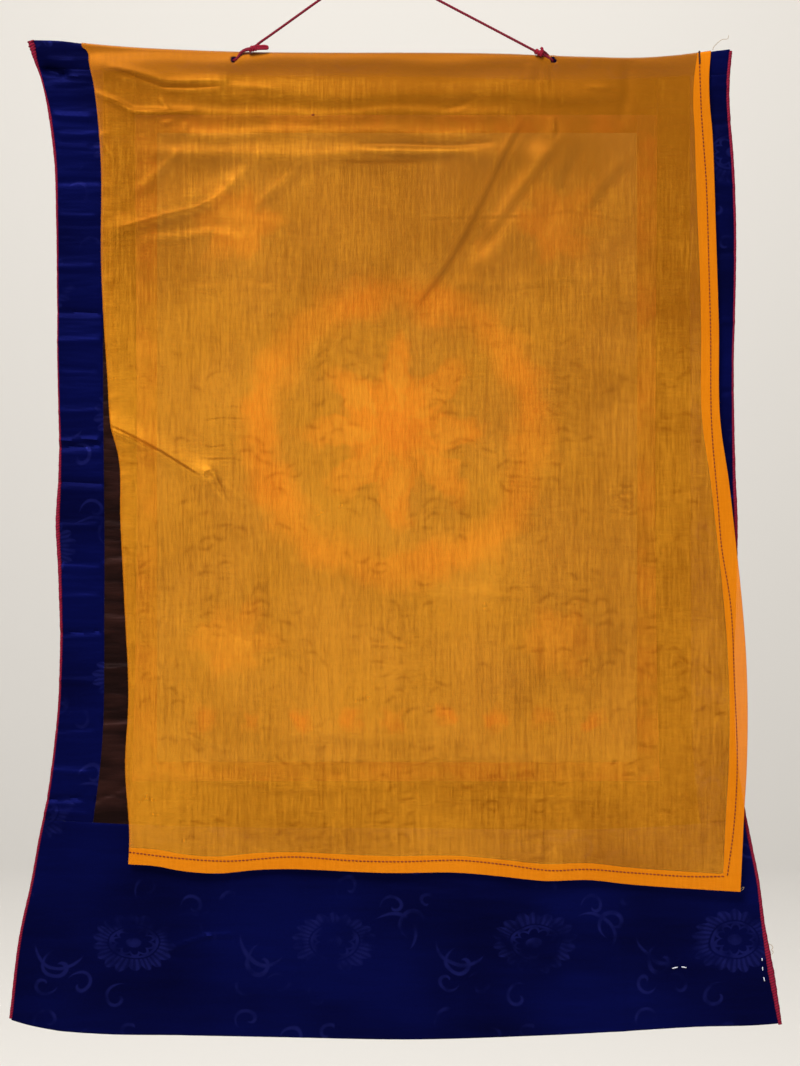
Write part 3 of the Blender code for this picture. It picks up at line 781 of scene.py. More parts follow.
# The damask's repeat: one flower and its clouds in each cell, and each row moved on by half a cell.
CELL_WIDE, CELL_TALL = 0.170, 0.112
FLOWER_AT = (-0.200, -0.829)  # x, z of one flower
FLOWER_WIDE, FLOWER_TALL = 0.036, 0.026
CLOUD_STROKES = (
    # centre x and z in the cell, radius, how it winds in, middle direction, half turn, half width
    (0.068, 0.016, 0.0085, 0.0060, 1.2, 3.0, 0.0019),
    (0.079, 0.034, 0.0060, -0.0045, 2.4, 2.9, 0.0016),
    (0.050, 0.030, 0.0065, 0.0045, 0.2, 2.9, 0.0016),
    (0.052, 0.000, 0.0200, 0.0060, 0.9, 1.3, 0.0016),
    (-0.062, -0.018, 0.0085, -0.0060, -1.4, 3.0, 0.0019),
    (-0.075, -0.034, 0.0060, 0.0045, 3.0, 2.9, 0.0016),
    (-0.046, -0.036, 0.0065, 0.0045, -0.4, 2.9, 0.0016),
    (-0.054, 0.000, 0.0220, -0.0060, -2.1, 1.2, 0.0016),
    (0.012, 0.046, 0.0070, 0.0050, 0.9, 2.9, 0.0016),
    (-0.014, -0.047, 0.0070, -0.0050, -2.2, 2.9, 0.0016),
)


def damask_pattern(place):
    """1 on the figured parts of the weave and 0 on its ground."""
    wander = (place.stretched(24, 24, 24).noise(1.0) - 0.5) * 0.012
    x, z = (place.node("ShaderNodeSeparateXYZ", {}, {0: place}, axis) for axis in "XZ")
    z = (z + wander - FLOWER_AT[1]) / CELL_TALL + 0.5
    row = z.math("FLOOR")
    x = (x + wander - FLOWER_AT[0]) / CELL_WIDE + 0.5 + row.math("MODULO", 2.0) * 0.5
    x = (x.math("FRACT") - 0.5) * CELL_WIDE
    z = (z.math("FRACT") - 0.5) * CELL_TALL

    wide, tall = x / FLOWER_WIDE, z / FLOWER_TALL
    reach = (wide * wide + tall * tall).math("SQRT")
    turn = tall.math("ARCTAN2", wide)
    outer = abs((turn * 9).math("SINE")) * 0.16 + 0.84
    inner = abs((turn * 5).math("SINE")) * 0.13 + 0.36
    ribs = ((turn * 36).math("SINE") * 0.5 + 0.5).ease(0.2, 0.7)
    petals = (outer - reach).ease(-0.03, 0.03) * (reach - 0.60).ease(-0.02, 0.03)
    flower = petals * (ribs * 0.6 + 0.4)
    flower = flower.math("MAXIMUM", abs(reach - 0.53).ease(0.05, 0.02))
    flower = flower.math("MAXIMUM", abs(reach - inner).ease(0.06, 0.03))
    flower = flower.math("MAXIMUM", (reach * -1 + 0.17).ease(-0.03, 0.02))

    clouds = flower
    for at_x, at_z, radius, winding, middle, spread, half_width in CLOUD_STROKES:
        over, up = x - at_x, z - at_z
        bearing = (up.math("ARCTAN2", over) - middle).math("WRAP", pi, -pi) / spread
        taper = (1 - bearing * bearing * bearing * bearing) * half_width
        line = abs((over * over + up * up).math("SQRT") - bearing * winding - radius)
        clouds = clouds.math("MAXIMUM", (taper - line).ease(-0.0007, 0.0009))
    return clouds


NAVY_GROUND = (0.0006, 0.0007, 0.0140)
NAVY_LIT = (0.0014, 0.0026, 0.0480)
NAVY_FIGURE = (0.0070, 0.0085, 0.0760)

navy, place = new_finish("navy_damask", Specular_IOR_Level=0.02, Metallic=0.45)
figure = damask_pattern(place)
shown = place.stretched(18, 18, 18).noise(3.0, 0.75).ease(0.42, 0.62)  # wear hides the figure in patches
patches = place.stretched(7, 7, 10).noise(2.0).ease(0.30, 0.70)
threads = place.stretched(420, 60, 1500).noise(1.0)
ripples_and_sheen = place.stretched(14, 16, 80).noise(2.0)
# The ground is lighter in random patches and along the threads, and on the ripples' crests, where it is painted sheen.
ground = (patches * 0.6 + threads * 0.30 + ripples_and_sheen * 0.40 - 0.12).between(NAVY_GROUND, NAVY_LIT)
weave = (figure * shown * 0.75).between(ground, NAVY_FIGURE)
set_finish(
    navy,
    Base_Color=weave,
    Roughness=figure * shown * -0.10 + threads * 0.2 + 0.42,
    height=threads * 0.00008 + ripples_and_sheen * 0.0018,
)
for panel in NAVY_PANELS:
    mount_panel(panel, navy, "navy_silk")


# Brown strips: four lengths of dark brown satin inside the navy. Only the left one shows beside the
# veil, slack and softly creased across.
BROWN_DARK = (0.0055, 0.0018, 0.0016)
BROWN_LIT = (0.0260, 0.0082, 0.0062)
BROWN_PANELS = (
    Panel("brown_strip_left", "brown_left", "left seam", "left brown", "heading seam", "foot seam", 0.0265, 0.635),
    Panel("brown_strip_right", "brown_right", "right brown", "right seam", "heading seam", "foot seam", 0.0280, 0.635),
    Panel("brown_strip_top", "brown_top", "left brown", "right brown", "heading seam", "top brown", 0.443, 0.032),
    Panel("brown_strip_bottom", "brown_bottom", "left brown", "right brown", "bottom brown", "foot seam", 0.446, 0.040),
)

brown, place = new_finish("brown_satin", Specular_IOR_Level=0.05, Metallic=0.40)
weave = place.stretched(700, 60, 2400).noise(2.0)
slack = place.stretched(16, 18, 85).noise(3.0)
# Darker in the troughs of the slack folds and lighter on their crests: painted shade and sheen, over the weave's
# streaks.
brown_and_fold_shade = (slack.ease(0.35, 0.68) * 0.7 + weave * 0.4 - 0.1).between(BROWN_DARK, BROWN_LIT)
set_finish(brown, Base_Color=brown_and_fold_shade, Roughness=weave * 0.2 + 0.42, height=slack * 0.0026 + weave * 0.00008)
for panel in BROWN_PANELS:
    mount_panel(panel, brown, "brown_silk")


# Red strips: four narrow lengths of red silk with a gold thread line, framing the painted cloth. They
# show through the veil as a warm frame.
RED_DARK = (0.13, 0.022, 0.006)
RED_LIT = (0.44, 0.050, 0.012)
RED_PANELS = (
    Panel("red_strip_left", "red_left", "left brown", "left red", "top brown", "bottom brown", 0.0190, 0.566),
    Panel("red_strip_right", "red_right", "right red", "right brown", "top brown", "bottom brown", 0.0175, 0.566),
    Panel("red_strip_top", "red_top", "left red", "right red", "top brown", "top red", 0.408, 0.0153),
    Panel("red_strip_bottom", "red_bottom", "left red", "right red", "bottom red", "bottom brown", 0.408, 0.0161),
)

red, place = new_finish("red_silk_strip", Specular_IOR_Level=0.20, Metallic=0.20)
weave = place.stretched(900, 90, 1800).noise(2.0)
fade = place.stretched(26, 26, 26).noise(2.0, 0.65).ease(0.35, 0.65)
set_finish(
    red,
    Base_Color=(fade * 0.8 + weave * 0.3 - 0.1).between(RED_DARK, RED_LIT),
    Roughness=weave * 0.2 + 0.5,
    height=weave * 0.00010,
)
for panel in RED_PANELS:
    mount_panel(panel, red, "red_silk")


# Painted cloth: sized cotton with a plain ornamental painting, a lotus of eight petals in a ring, with a
# rosette in each corner and a row of jewels along the foot. Its colours run softly into one another.
PAINTING = Panel("painted_cloth", "painting", "left red", "right red", "top red", "bottom red", 0.408, 0.535)
LOTUS_MIDDLE = (0.0234, -0.3950)  # x, z
LOTUS_REACH = 0.078
RING_REACH, RING_HALF = 0.116, 0.014
ROSETTE_OFF = (0.138, 0.178)
ROSETTE_REACH = 0.034
JEWEL_ROW, JEWEL_STEP = 0.245, 0.041
SOFT = 0.011
COTTON_DARK, COTTON_LIT = (0.24, 0.185, 0.105), (0.40, 0.32, 0.20)
GROUND_DARK = (0.110, 0.075, 0.018)
GROUND_LIT = (0.420, 0.230, 0.050)
PAINT_RED = (0.88, 0.120, 0.020)
PAINT_ORANGE = (0.98, 0.250, 0.025)
PAINT_YELLOW = (0.98, 0.450, 0.050)

painted, place = new_finish("painted_cotton_finish", Specular_IOR_Level=0.20)
brush = place.stretched(34, 34, 34).noise(2.0, 0.6)
x, z = (place.node("ShaderNodeSeparateXYZ", {}, {0: place}, axis) for axis in "XZ")
x = x - LOTUS_MIDDLE[0] + (brush - 0.5) * 0.040
z = z - LOTUS_MIDDLE[1] + (place.stretched(29, 29, 29).noise(2.0, 0.6) - 0.5) * 0.040
reach = (x * x + z * z).math("SQRT")
turn = z.math("ARCTAN2", x)
petals = abs((turn * 4).math("COSINE")).math("POWER", 0.6) * LOTUS_REACH
heart = abs((turn * 4).math("SINE")).math("POWER", 0.7) * LOTUS_REACH * 0.6
ring = abs(reach - RING_REACH).ease(RING_HALF + SOFT, RING_HALF - SOFT)
aside, aloft = abs(x) - ROSETTE_OFF[0], abs(z) - ROSETTE_OFF[1]
corner_reach = (aside * aside + aloft * aloft).math("SQRT")
corner_petals = abs((aloft.math("ARCTAN2", aside) * 3).math("COSINE")) * 0.35 + 0.65
jewels = ((x * (tau / JEWEL_STEP)).math("COSINE") * 0.5 + 0.5).ease(0.35, 1.0)
jewels = jewels * abs(z + JEWEL_ROW).ease(0.014, 0.002) * abs(x).ease(0.180, 0.165)
mottle = place.stretched(15, 15, 15).noise(1.0).ease(0.3, 0.7)

worn = mottle * 0.45 + 0.50  # how much of each colour is left
art = (brush * 0.5 + mottle * 0.6 - 0.1).between(GROUND_DARK, GROUND_LIT)
art = (ring * worn).between(art, PAINT_ORANGE)
art = ((petals - reach).ease(-SOFT, SOFT) * worn).between(art, PAINT_ORANGE)
art = ((petals * 0.8 - reach).ease(-SOFT, SOFT) * worn).between(art, PAINT_YELLOW)
art = ((heart - reach).ease(-SOFT, SOFT) * worn).between(art, PAINT_ORANGE)
art = reach.ease(0.026, 0.008).between(art, PAINT_RED)
rosettes = (corner_petals * ROSETTE_REACH - corner_reach).ease(-SOFT, SOFT) * worn
art = (rosettes * 0.7).between(art, PAINT_ORANGE)
art = (corner_reach.ease(0.018, 0.004) * 0.6).between(art, PAINT_YELLOW)
art = (jewels * worn).between(art, PAINT_RED)
canvas = place.stretched(1500, 200, 1500).noise(0.0)
facing = place.node("ShaderNodeTexCoord", {}, {}, "Normal")
behind = facing.node("ShaderNodeSeparateXYZ", {}, {0: facing}, "Y").ease(-0.3, 0.3)
art = behind.between(art, (mottle * 0.6 + canvas * 0.3).between(COTTON_DARK, COTTON_LIT))  # bare at the back
set_finish(painted, Base_Color=art, Roughness=canvas * 0.15 + 0.65, height=canvas * 0.00012)
mount_panel(PAINTING, painted, "painted_cotton", pitch=0.004)


# Edge bindings: narrow crimson cloth, rolled tightly over the left and right edges and whipped down.
# The left one ends at the top in a thick twisted lump, and both swell where the roll has come loose.
BINDING_SPAN = {"left": (0.0632, 0.8932), "right": (0.0716, 0.9003)}
BINDING_STEP = 0.0008
BINDING_LAY = 0.0046
# painted shade in the valleys between the plies, and the binding's colour on the crests
BINDING_COLOURS = ((0.075, 0.0006, 0.0085), (0.250, 0.0036, 0.0270))

binding_silk = yarn_finish("crimson_binding", BINDING_COLOURS, 0.05)
for side, inward in (("left", 1), ("right", -1)):
    edge = f"{side} edge"
    drop = np.arange(*BINDING_SPAN[side], BINDING_STEP)
    radius = binding_width(edge, drop) / 2
    x = along(UPRIGHT_LINES[edge], drop) + inward * radius
    y = mount_face(x, drop) + MOUNT_THICK / 2
    loose = 1 + 0.06 * np.sin(drop * 310) * np.sin(drop * 97 + 1) + 0.05 * np.sin(drop * 830 + 2)
    lump = np.exp(-(((drop - BINDING_SPAN["left"][0]) / 0.011) ** 2))
    loose = loose + 0.16 * lump * np.sin(drop * 1900)
    twisted = 0.08 + 0.24 * lump
    line = np.column_stack([x, y, -drop])
    yarn_tube(
        f"binding_{side}",
        line,
        radius * loose,
        BINDING_LAY,
        twisted[:, None],
        binding_silk,
        "binding_silk",
        f"edge_binding_{side}",
        plies=2,
        sides=12,
    )


# Veil: one width of sheer yellow-orange silk, turned over the top edge and hanging free. Its right side
# and foot are turned under into hems, and its left side is the selvedge.
VEIL_THICK = 0.00018
LAYER_STEP = 0.00032
SIDE_HEM = ((0.0700, 0.0108), (0.0850, 0.0118), (0.1050, 0.0132), (0.2800, 0.0146), (0.8000, 0.0150))
FOOT_HEM = 0.0140
LIP_LENGTH = 0.0120
TURN_CLEAR = 0.0007
VEIL_SLACK_TOP = 0.0003
VEIL_SLACK_BODY = 0.0036
VEIL_SLACK_DROP = 0.0160
SEWN_DEPTH = 0.0040
BINDING_CLEAR = 0.0030
BINDING_CROSSING = 0.6600
CROSSING_SPREAD = 0.1600
CROSSING_REACH = 0.0500
EYELETS = ((-0.1153, 0.0796), (0.1557, 0.0802))  # x, drop
EYELET_REACH = 0.0021
EYELET_CALM = 0.0055
VEIL_LEFT = (
    # drop, x
    (0.0640, -0.2446),
    (0.0690, -0.2438),
    (0.0712, -0.2406),
    (0.0740, -0.2391),
    (0.0802, -0.2384),
    (0.0998, -0.2342),
    (0.1261, -0.2308),
    (0.1584, -0.2282),
    (0.2579, -0.2274),
    (0.3488, -0.2223),
    (0.3922, -0.2189),
    (0.4143, -0.2133),
    (0.4704, -0.2112),
    (0.5401, -0.2078),
    (0.6268, -0.2044),
    (0.6744, -0.2070),
    (0.7483, -0.2036),
    (0.7619, -0.2044),
)
VEIL_RIGHT = (
    # drop, x
    (0.0713, 0.2899),
    (0.0934, 0.2880),
    (0.1170, 0.2884),
    (0.1400, 0.2904),
    (0.1754, 0.2920),
    (0.2154, 0.2932),
    (0.3055, 0.2959),
    (0.3905, 0.2975),
    (0.4364, 0.3042),
    (0.4857, 0.3098),
    (0.5401, 0.3154),
    (0.5834, 0.3187),
    (0.6786, 0.3196),
    (0.7177, 0.3175),
    (0.7857, 0.3145),
)
VEIL_FOOT = (
    # x, drop
    (-0.2044, 0.7619),
    (-0.1798, 0.7636),
    (-0.1619, 0.7670),
    (-0.1279, 0.7696),
    (-0.0973, 0.7670),
    (0.0259, 0.7692),
    (0.0761, 0.7692),
    (0.1126, 0.7721),
    (0.1475, 0.7755),
    (0.1866, 0.7752),
    (0.2163, 0.7789),
    (0.3145, 0.7857),
)
FOOT_FLUTES = 3.5
FOOT_FLUTE_DEPTH = 0.0015
VEIL_WIDTH = 0.5300
# The veil's broad folds, as the solid has them. Each row: x and drop at its start and end, height, half
# width.
VEIL_FOLDS = (
    (-0.219, 0.392, -0.138, 0.434, 0.0034, 0.011),
    (-0.138, 0.434, -0.118, 0.462, 0.0018, 0.012),
    (0.136, 0.150, 0.092, 0.232, -0.0016, 0.011),
    (0.092, 0.232, 0.046, 0.294, -0.0018, 0.011),
    (0.160, 0.150, 0.104, 0.250, 0.0020, 0.013),
    (-0.226, 0.086, -0.130, 0.102, 0.0022, 0.010),
    (-0.146, 0.156, 0.140, 0.160, 0.0018, 0.012),
    (-0.210, 0.222, -0.106, 0.186, 0.0018, 0.012),
    (-0.158, 0.712, -0.190, 0.740, 0.0020, 0.012),
)
# The veil's sharper creases. Each has a rise, a roll that lifts its lower or left side against the other,
# a half width and the points that it runs through, as x and drop.
Crease = namedtuple("Crease", "rise roll half_width points")
VEIL_CREASES = (
    # the deep pull from the left edge and the swirl at its end
    Crease(0.0004, -0.0005, 0.0030, ((-0.2189, 0.3960), (-0.2090, 0.4000), (-0.1990, 0.4050), (-0.1860, 0.4120))),
    Crease(0.0007, 0.0000, 0.0018, ((-0.1400, 0.4290), (-0.1355, 0.4270), (-0.1315, 0.4300), (-0.1290, 0.4360), (-0.1255, 0.4430), (-0.1190, 0.4500))),
    Crease(-0.0008, 0.0000, 0.0018, ((-0.1390, 0.4345), (-0.1350, 0.4320), (-0.1325, 0.4350))),
    Crease(0.0007, 0.0000, 0.0024, ((-0.1330, 0.4400), (-0.1280, 0.4480), (-0.1200, 0.4560))),
    Crease(0.0006, 0.0000, 0.0028, ((-0.1240, 0.4380), (-0.1150, 0.4460), (-0.1040, 0.4560))),
    # the diagonal troughs below the right eyelet
    Crease(0.0000, 0.0006, 0.0060, ((0.1560, 0.1584), (0.1280, 0.1940), (0.1000, 0.2324))),
    Crease(0.0000, 0.0006, 0.0065, ((0.1780, 0.1500), (0.1580, 0.1900), (0.1380, 0.2300))),
    Crease(0.0000, 0.0005, 0.0070, ((0.2186, 0.1669), (0.2020, 0.1860), (0.1846, 0.2069))),
    Crease(0.0004, 0.0006, 0.0028, ((0.1560, 0.1290), (0.1575, 0.1390), (0.1540, 0.1470))),
    Crease(-0.0008, 0.0000, 0.0030, ((0.2195, 0.0800), (0.2190, 0.1080), (0.2130, 0.1330))),
    # level folds over the heading
    Crease(0.0009, 0.0000, 0.0030, ((-0.2214, 0.0861), (-0.2012, 0.0902), (-0.1848, 0.0950), (-0.1714, 0.0997), (-0.1470, 0.0990), (-0.1200, 0.0980))),
    Crease(-0.0009, 0.0000, 0.0026, ((-0.2170, 0.0902), (-0.2024, 0.0943), (-0.1875, 0.0984), (-0.1740, 0.1030), (-0.1577, 0.1034), (-0.1265, 0.1012))),
    Crease(0.0006, 0.0000, 0.0024, ((-0.2080, 0.0943), (-0.1944, 0.0970), (-0.1822, 0.1011), (-0.1713, 0.1055), (-0.1470, 0.1056))),
    Crease(0.0004, 0.0000, 0.0024, ((-0.1200, 0.1020), (-0.0950, 0.1036), (-0.0750, 0.1052))),
    Crease(0.0008, 0.0006, 0.0032, ((-0.2337, 0.1057), (-0.2242, 0.1105), (-0.2147, 0.1139), (-0.2080, 0.1180), (-0.2012, 0.1221), (-0.1903, 0.1235), (-0.1714, 0.1235), (-0.1470, 0.1228))),
    Crease(0.0005, 0.0000, 0.0020, ((-0.1780, 0.1125), (-0.1728, 0.1193), (-0.1688, 0.1253))),
    Crease(0.0007, 0.0000, 0.0016, ((-0.1767, 0.1342), (-0.1660, 0.1322))),
    Crease(0.0005, 0.0000, 0.0020, ((-0.1564, 0.1329), (-0.1571, 0.1437))),
    Crease(-0.0010, 0.0006, 0.0030, ((-0.0100, 0.1530), (0.0300, 0.1530), (0.0700, 0.1545), (0.1050, 0.1510))),
    Crease(0.0007, 0.0000, 0.0030, ((0.0000, 0.1580), (0.0400, 0.1590), (0.0800, 0.1580))),
    Crease(-0.0010, 0.0000, 0.0055, ((0.0120, 0.1660), (0.0500, 0.1655), (0.0850, 0.1640))),
    Crease(-0.0006, 0.0000, 0.0018, ((0.0640, 0.1215), (0.0760, 0.1190), (0.0860, 0.1135), (0.0920, 0.1110))),
    Crease(0.0005, 0.0000, 0.0018, ((0.1870, 0.1035), (0.2060, 0.1045))),
    Crease(0.0006, 0.0000, 0.0026, ((0.1370, 0.0830), (0.1385, 0.0960))),
    Crease(0.0005, 0.0000, 0.0024, ((0.1480, 0.0850), (0.1488, 0.1020))),
    # pulls that fan out from the left edge
    Crease(0.0008, 0.0000, 0.0026, ((-0.2012, 0.1932), (-0.1917, 0.1857), (-0.1835, 0.1777), (-0.1741, 0.1695), (-0.1660, 0.1627), (-0.1620, 0.1573))),
    Crease(0.0006, 0.0000, 0.0022, ((-0.1940, 0.1930), (-0.1850, 0.1840), (-0.1760, 0.1760), (-0.1680, 0.1680))),
    Crease(0.0011, 0.0005, 0.0030, ((-0.2174, 0.2251), (-0.2012, 0.2203), (-0.1848, 0.2163), (-0.1740, 0.2129), (-0.1604, 0.2101), (-0.1470, 0.2068), (-0.1361, 0.2021), (-0.1265, 0.1946), (-0.1199, 0.1884), (-0.1130, 0.1817))),
    Crease(0.0010, 0.0000, 0.0065, ((-0.1200, 0.1880), (-0.1050, 0.1740), (-0.0860, 0.1640))),
    Crease(0.0009, 0.0005, 0.0034, ((-0.0967, 0.2034), (-0.0859, 0.1925), (-0.0750, 0.1844), (-0.0670, 0.1763), (-0.0588, 0.1668))),
    Crease(0.0004, 0.0003, 0.0030, ((-0.1306, 0.2128), (-0.1063, 0.2122), (-0.0860, 0.2156), (-0.0656, 0.2183))),
    Crease(0.0000, 0.0009, 0.0045, ((-0.1970, 0.2340), (-0.1876, 0.2292), (-0.1551, 0.2264), (-0.1361, 0.2230), (-0.1199, 0.2251), (-0.1063, 0.2292))),
    Crease(-0.0006, 0.0000, 0.0020, ((-0.2174, 0.2088), (-0.2012, 0.2094))),
    Crease(0.0005, 0.0000, 0.0022, ((-0.2282, 0.1423), (-0.2230, 0.1540), (-0.2161, 0.1654))),
    # soft bends and short crinkles lower down
    Crease(-0.0004, 0.0004, 0.0026, ((-0.1517, 0.2681), (-0.0973, 0.2672), (-0.0752, 0.2715))),
    Crease(0.0005, 0.0000, 0.0030, ((0.0700, 0.2700), (0.1300, 0.2690), (0.1700, 0.2640), (0.2050, 0.2700))),
    Crease(0.0007, 0.0000, 0.0034, ((-0.0123, 0.2774), (-0.0429, 0.3233), (-0.0667, 0.3684))),
    Crease(-0.0004, 0.0004, 0.0050, ((-0.1577, 0.7126), (-0.1883, 0.7373))),
    Crease(-0.0005, 0.0000, 0.0022, ((0.2495, 0.3922), (0.2560, 0.4120), (0.2597, 0.4321))),
    Crease(-0.0007, 0.0000, 0.0024, ((0.2050, 0.4520), (0.2150, 0.4470), (0.2230, 0.4480))),
    Crease(-0.0007, 0.0000, 0.0024, ((0.1980, 0.4640), (0.2100, 0.4620), (0.2240, 0.4570))),
    Crease(-0.0006, 0.0000, 0.0024, ((0.0000, 0.5720), (0.0180, 0.5700), (0.0350, 0.5760))),
    Crease(-0.0006, 0.0000, 0.0024, ((0.0080, 0.5860), (0.0250, 0.5900), (0.0420, 0.5880))),
    Crease(-0.0006, 0.0000, 0.0026, ((-0.1200, 0.5650), (-0.1050, 0.5700), (-0.0880, 0.5660))),
    Crease(-0.0006, 0.0000, 0.0026, ((-0.1080, 0.5850), (-0.0850, 0.5820), (-0.0650, 0.5860))),
    Crease(0.0004, 0.0004, 0.0030, ((-0.1700, 0.6480), (-0.1400, 0.6560), (-0.1120, 0.6640))),
    Crease(0.0006, 0.0000, 0.0032, ((-0.0800, 0.6550), (-0.0400, 0.6500), (0.0100, 0.6560), (0.0700, 0.6510))),
    Crease(0.0005, 0.0003, 0.0032, ((-0.0800, 0.6750), (-0.0200, 0.6700), (0.0500, 0.6720), (0.1400, 0.6640))),
    Crease(0.0006, 0.0003, 0.0036, ((-0.1900, 0.6820), (-0.1300, 0.6880), (-0.0600, 0.6960), (0.0200, 0.6930))),
    Crease(0.0005, 0.0003, 0.0036, ((0.0400, 0.7080), (0.1200, 0.7020), (0.2200, 0.7060))),
    Crease(0.0005, 0.0000, 0.0034, ((-0.2000, 0.5500), (-0.1700, 0.5560), (-0.1500, 0.5640))),
    Crease(0.0005, 0.0002, 0.0030, ((0.0500, 0.5350), (0.0900, 0.5300), (0.1350, 0.5330))),
    Crease(0.0005, 0.0000, 0.0026, ((0.1700, 0.3350), (0.1850, 0.3220), (0.1960, 0.3060))),
)
# Broad level waves under the top edge. Each row: drop of the crest, height, half heights above and below
# it, x at its start and end.
LEVEL_WAVES = (
    (0.0800, 0.0016, 0.0070, 0.0080, -0.235, 0.285),
    (0.1105, 0.0019, 0.0130, 0.0055, -0.160, 0.230),
    (0.1262, 0.0013, 0.0050, 0.0050, -0.225, 0.140),
    (0.1425, 0.0012, 0.0055, 0.0050, -0.190, 0.120),
    (0.1612, 0.0016, 0.0060, 0.0075, -0.210, 0.130),
)
VEIL_RISE = 1.7
LEVEL_WAVE_FADE = 0.050
SELVEDGE_PUCKERS = (
    0.144, 0.190, 0.203, 0.212, 0.224, 0.233, 0.246, 0.268, 0.291, 0.318, 0.352, 0.368, 0.410, 0.422, 0.433,
    0.441, 0.452, 0.463, 0.478, 0.492, 0.506, 0.540, 0.575, 0.612, 0.655, 0.690, 0.722,
)  # drops
VEIL_PITCH = 0.0038
FINE_PITCH = 0.0018
# drops and places across between which the rows and columns lie close together
FINE_ROWS = ((0.070, 0.168), (0.370, 0.448))
FINE_COLUMNS = ((-0.245, -0.104), (0.148, 0.163))


def veil_slack(x, drop):
    """How far the veil's space lies in front of the mount."""
    body = 1 - np.exp(-np.clip(drop - TOP_DROP - SEWN_DEPTH, 0, None) / VEIL_SLACK_DROP)
    slack = VEIL_SLACK_TOP + (VEIL_SLACK_BODY - VEIL_SLACK_TOP) * body
    near_edge = np.exp(-(((x - along(UPRIGHT_LINES["right edge"], drop)) / CROSSING_REACH) ** 2))
    crossing = np.exp(-(((drop - BINDING_CROSSING) / CROSSING_SPREAD) ** 4))
    return slack + BINDING_CLEAR * near_edge * crossing


def beside_line(points, x, drop):
    """Distance from a line through points, distance to its one side, place along it, and its length."""
    points = np.array(points)
    spans = np.linalg.norm(np.diff(points, axis=0), axis=1)
    best, offset, gone = np.full(x.shape, 9.0), np.zeros_like(x), np.zeros_like(x)
    for number, (start, end, span) in enumerate(zip(points, points[1:], spans)):
        run_x, run_drop = (end - start) / span
        share = np.clip((x - start[0]) * run_x + (drop - start[1]) * run_drop, 0, span)
        off_x, off_drop = x - start[0] - share * run_x, drop - start[1] - share * run_drop
        nearer = np.hypot(off_x, off_drop) < best
        best = np.where(nearer, np.hypot(off_x, off_drop), best)
        offset = np.where(nearer, run_x * off_drop - run_drop * off_x, offset)
        gone = np.where(nearer, spans[:number].sum() + share, gone)
    return best, offset, gone, spans.sum()


def crease_height(x, drop):
    """Height of the sharper creases, positive towards the viewer."""
    height = np.zeros_like(x)
    for crease in VEIL_CREASES:
        best, offset, gone, length = beside_line(crease.points, x, drop)
        ends = gone / length
        fade = np.clip(4 * ends * (1 - ends), 0, 1) ** 0.35
        bell = np.exp(-((best / crease.half_width) ** 2))
        height += fade * (crease.rise * bell + crease.roll * 1.6 * offset / crease.half_width * bell)
    for place, rise, above, below, start_x, end_x in LEVEL_WAVES:
        wander = 0.0016 * np.sin(31 * x + 900 * place) + 0.0010 * np.sin(67 * x + 400 * place)
        inside = np.clip(np.minimum(x - start_x, end_x - x) / LEVEL_WAVE_FADE, 0, 1)
        past = drop - place + wander
        spread = past / np.where(past < 0, above, below)
        height += rise * inside**2 * (3 - 2 * inside) * np.exp(-(spread**2)) / VEIL_RISE
    return height * VEIL_RISE


def selvedge_puckers(x, drop):
    """Small tucks that run in from the left edge."""
    inward = np.clip(x - along(VEIL_LEFT, drop), 0, None)
    height = np.zeros_like(x)
    for number, place in enumerate(SELVEDGE_PUCKERS):
        slanted = drop - place + inward * (0.35 if number % 2 else 0.15)
        height += 0.0007 * np.exp(-((slanted / 0.0026) ** 2) - (inward / 0.012) ** 2)
    return height


def veil_fold(x, drop):
    """Height of all the veil's folds and creases."""
    return ridges(VEIL_FOLDS, x, drop) + crease_height(x, drop) + selvedge_puckers(x, drop)


def veil_face(x, drop, fall):
    """y of the veil's front."""
    flutes = FOOT_FLUTE_DEPTH * (1 + np.cos(tau * FOOT_FLUTES * x / VEIL_WIDTH)) * fall**2
    room = veil_slack(x, drop)
    folds = veil_fold(x, drop) + flutes
    space = slow_waves(x, drop) - MOUNT_THICK / 2 - room - np.maximum(folds, VEIL_SLACK_TOP - room)
    return space - 3 * LAYER_STEP


def spaced(length, start, fine_stretches):
    """Distances along a length, closer together in the stretches that sharp creases cross."""
    places = [0.0]
    while places[-1] < length:
        here = start + places[-1]
        fine = any(low <= here < high for low, high in fine_stretches)
        places.append(places[-1] + (FINE_PITCH if fine else VEIL_PITCH))
    body = [place for place in places if place < length - VEIL_PITCH / 2]
    return np.array([*body, length - 0.0008, length - 0.0003, length])


veil_height = 0.705
down = spaced(veil_height, TOP_DROP, FINE_ROWS) / veil_height
across = spaced(VEIL_WIDTH, VEIL_LEFT[0][1], FINE_COLUMNS) / VEIL_WIDTH

# Hem stations: after the last column, or row, the cloth turns and runs back under itself.
hem_run = np.array([0.0, 0.05, 0.35, 0.70, 1.0])
column_share = np.concatenate((across, np.ones(1), np.ones(len(hem_run))))
column_under = np.concatenate((np.zeros(len(across)), [0.0], hem_run))
column_layer = np.concatenate((np.zeros(len(across)), [0.5], np.ones(len(hem_run))))
row_fall = np.concatenate((down, np.ones(1), np.ones(len(hem_run))))
row_under = np.concatenate((np.zeros(len(down)), [0.0], hem_run))
row_layer = np.concatenate((np.zeros(len(down)), [0.5], np.ones(len(hem_run))))
share, fall = np.meshgrid(column_share, row_fall)
under_x, under_drop = np.meshgrid(column_under, row_under)
layer_x, layer_drop = np.meshgrid(column_layer, row_layer)

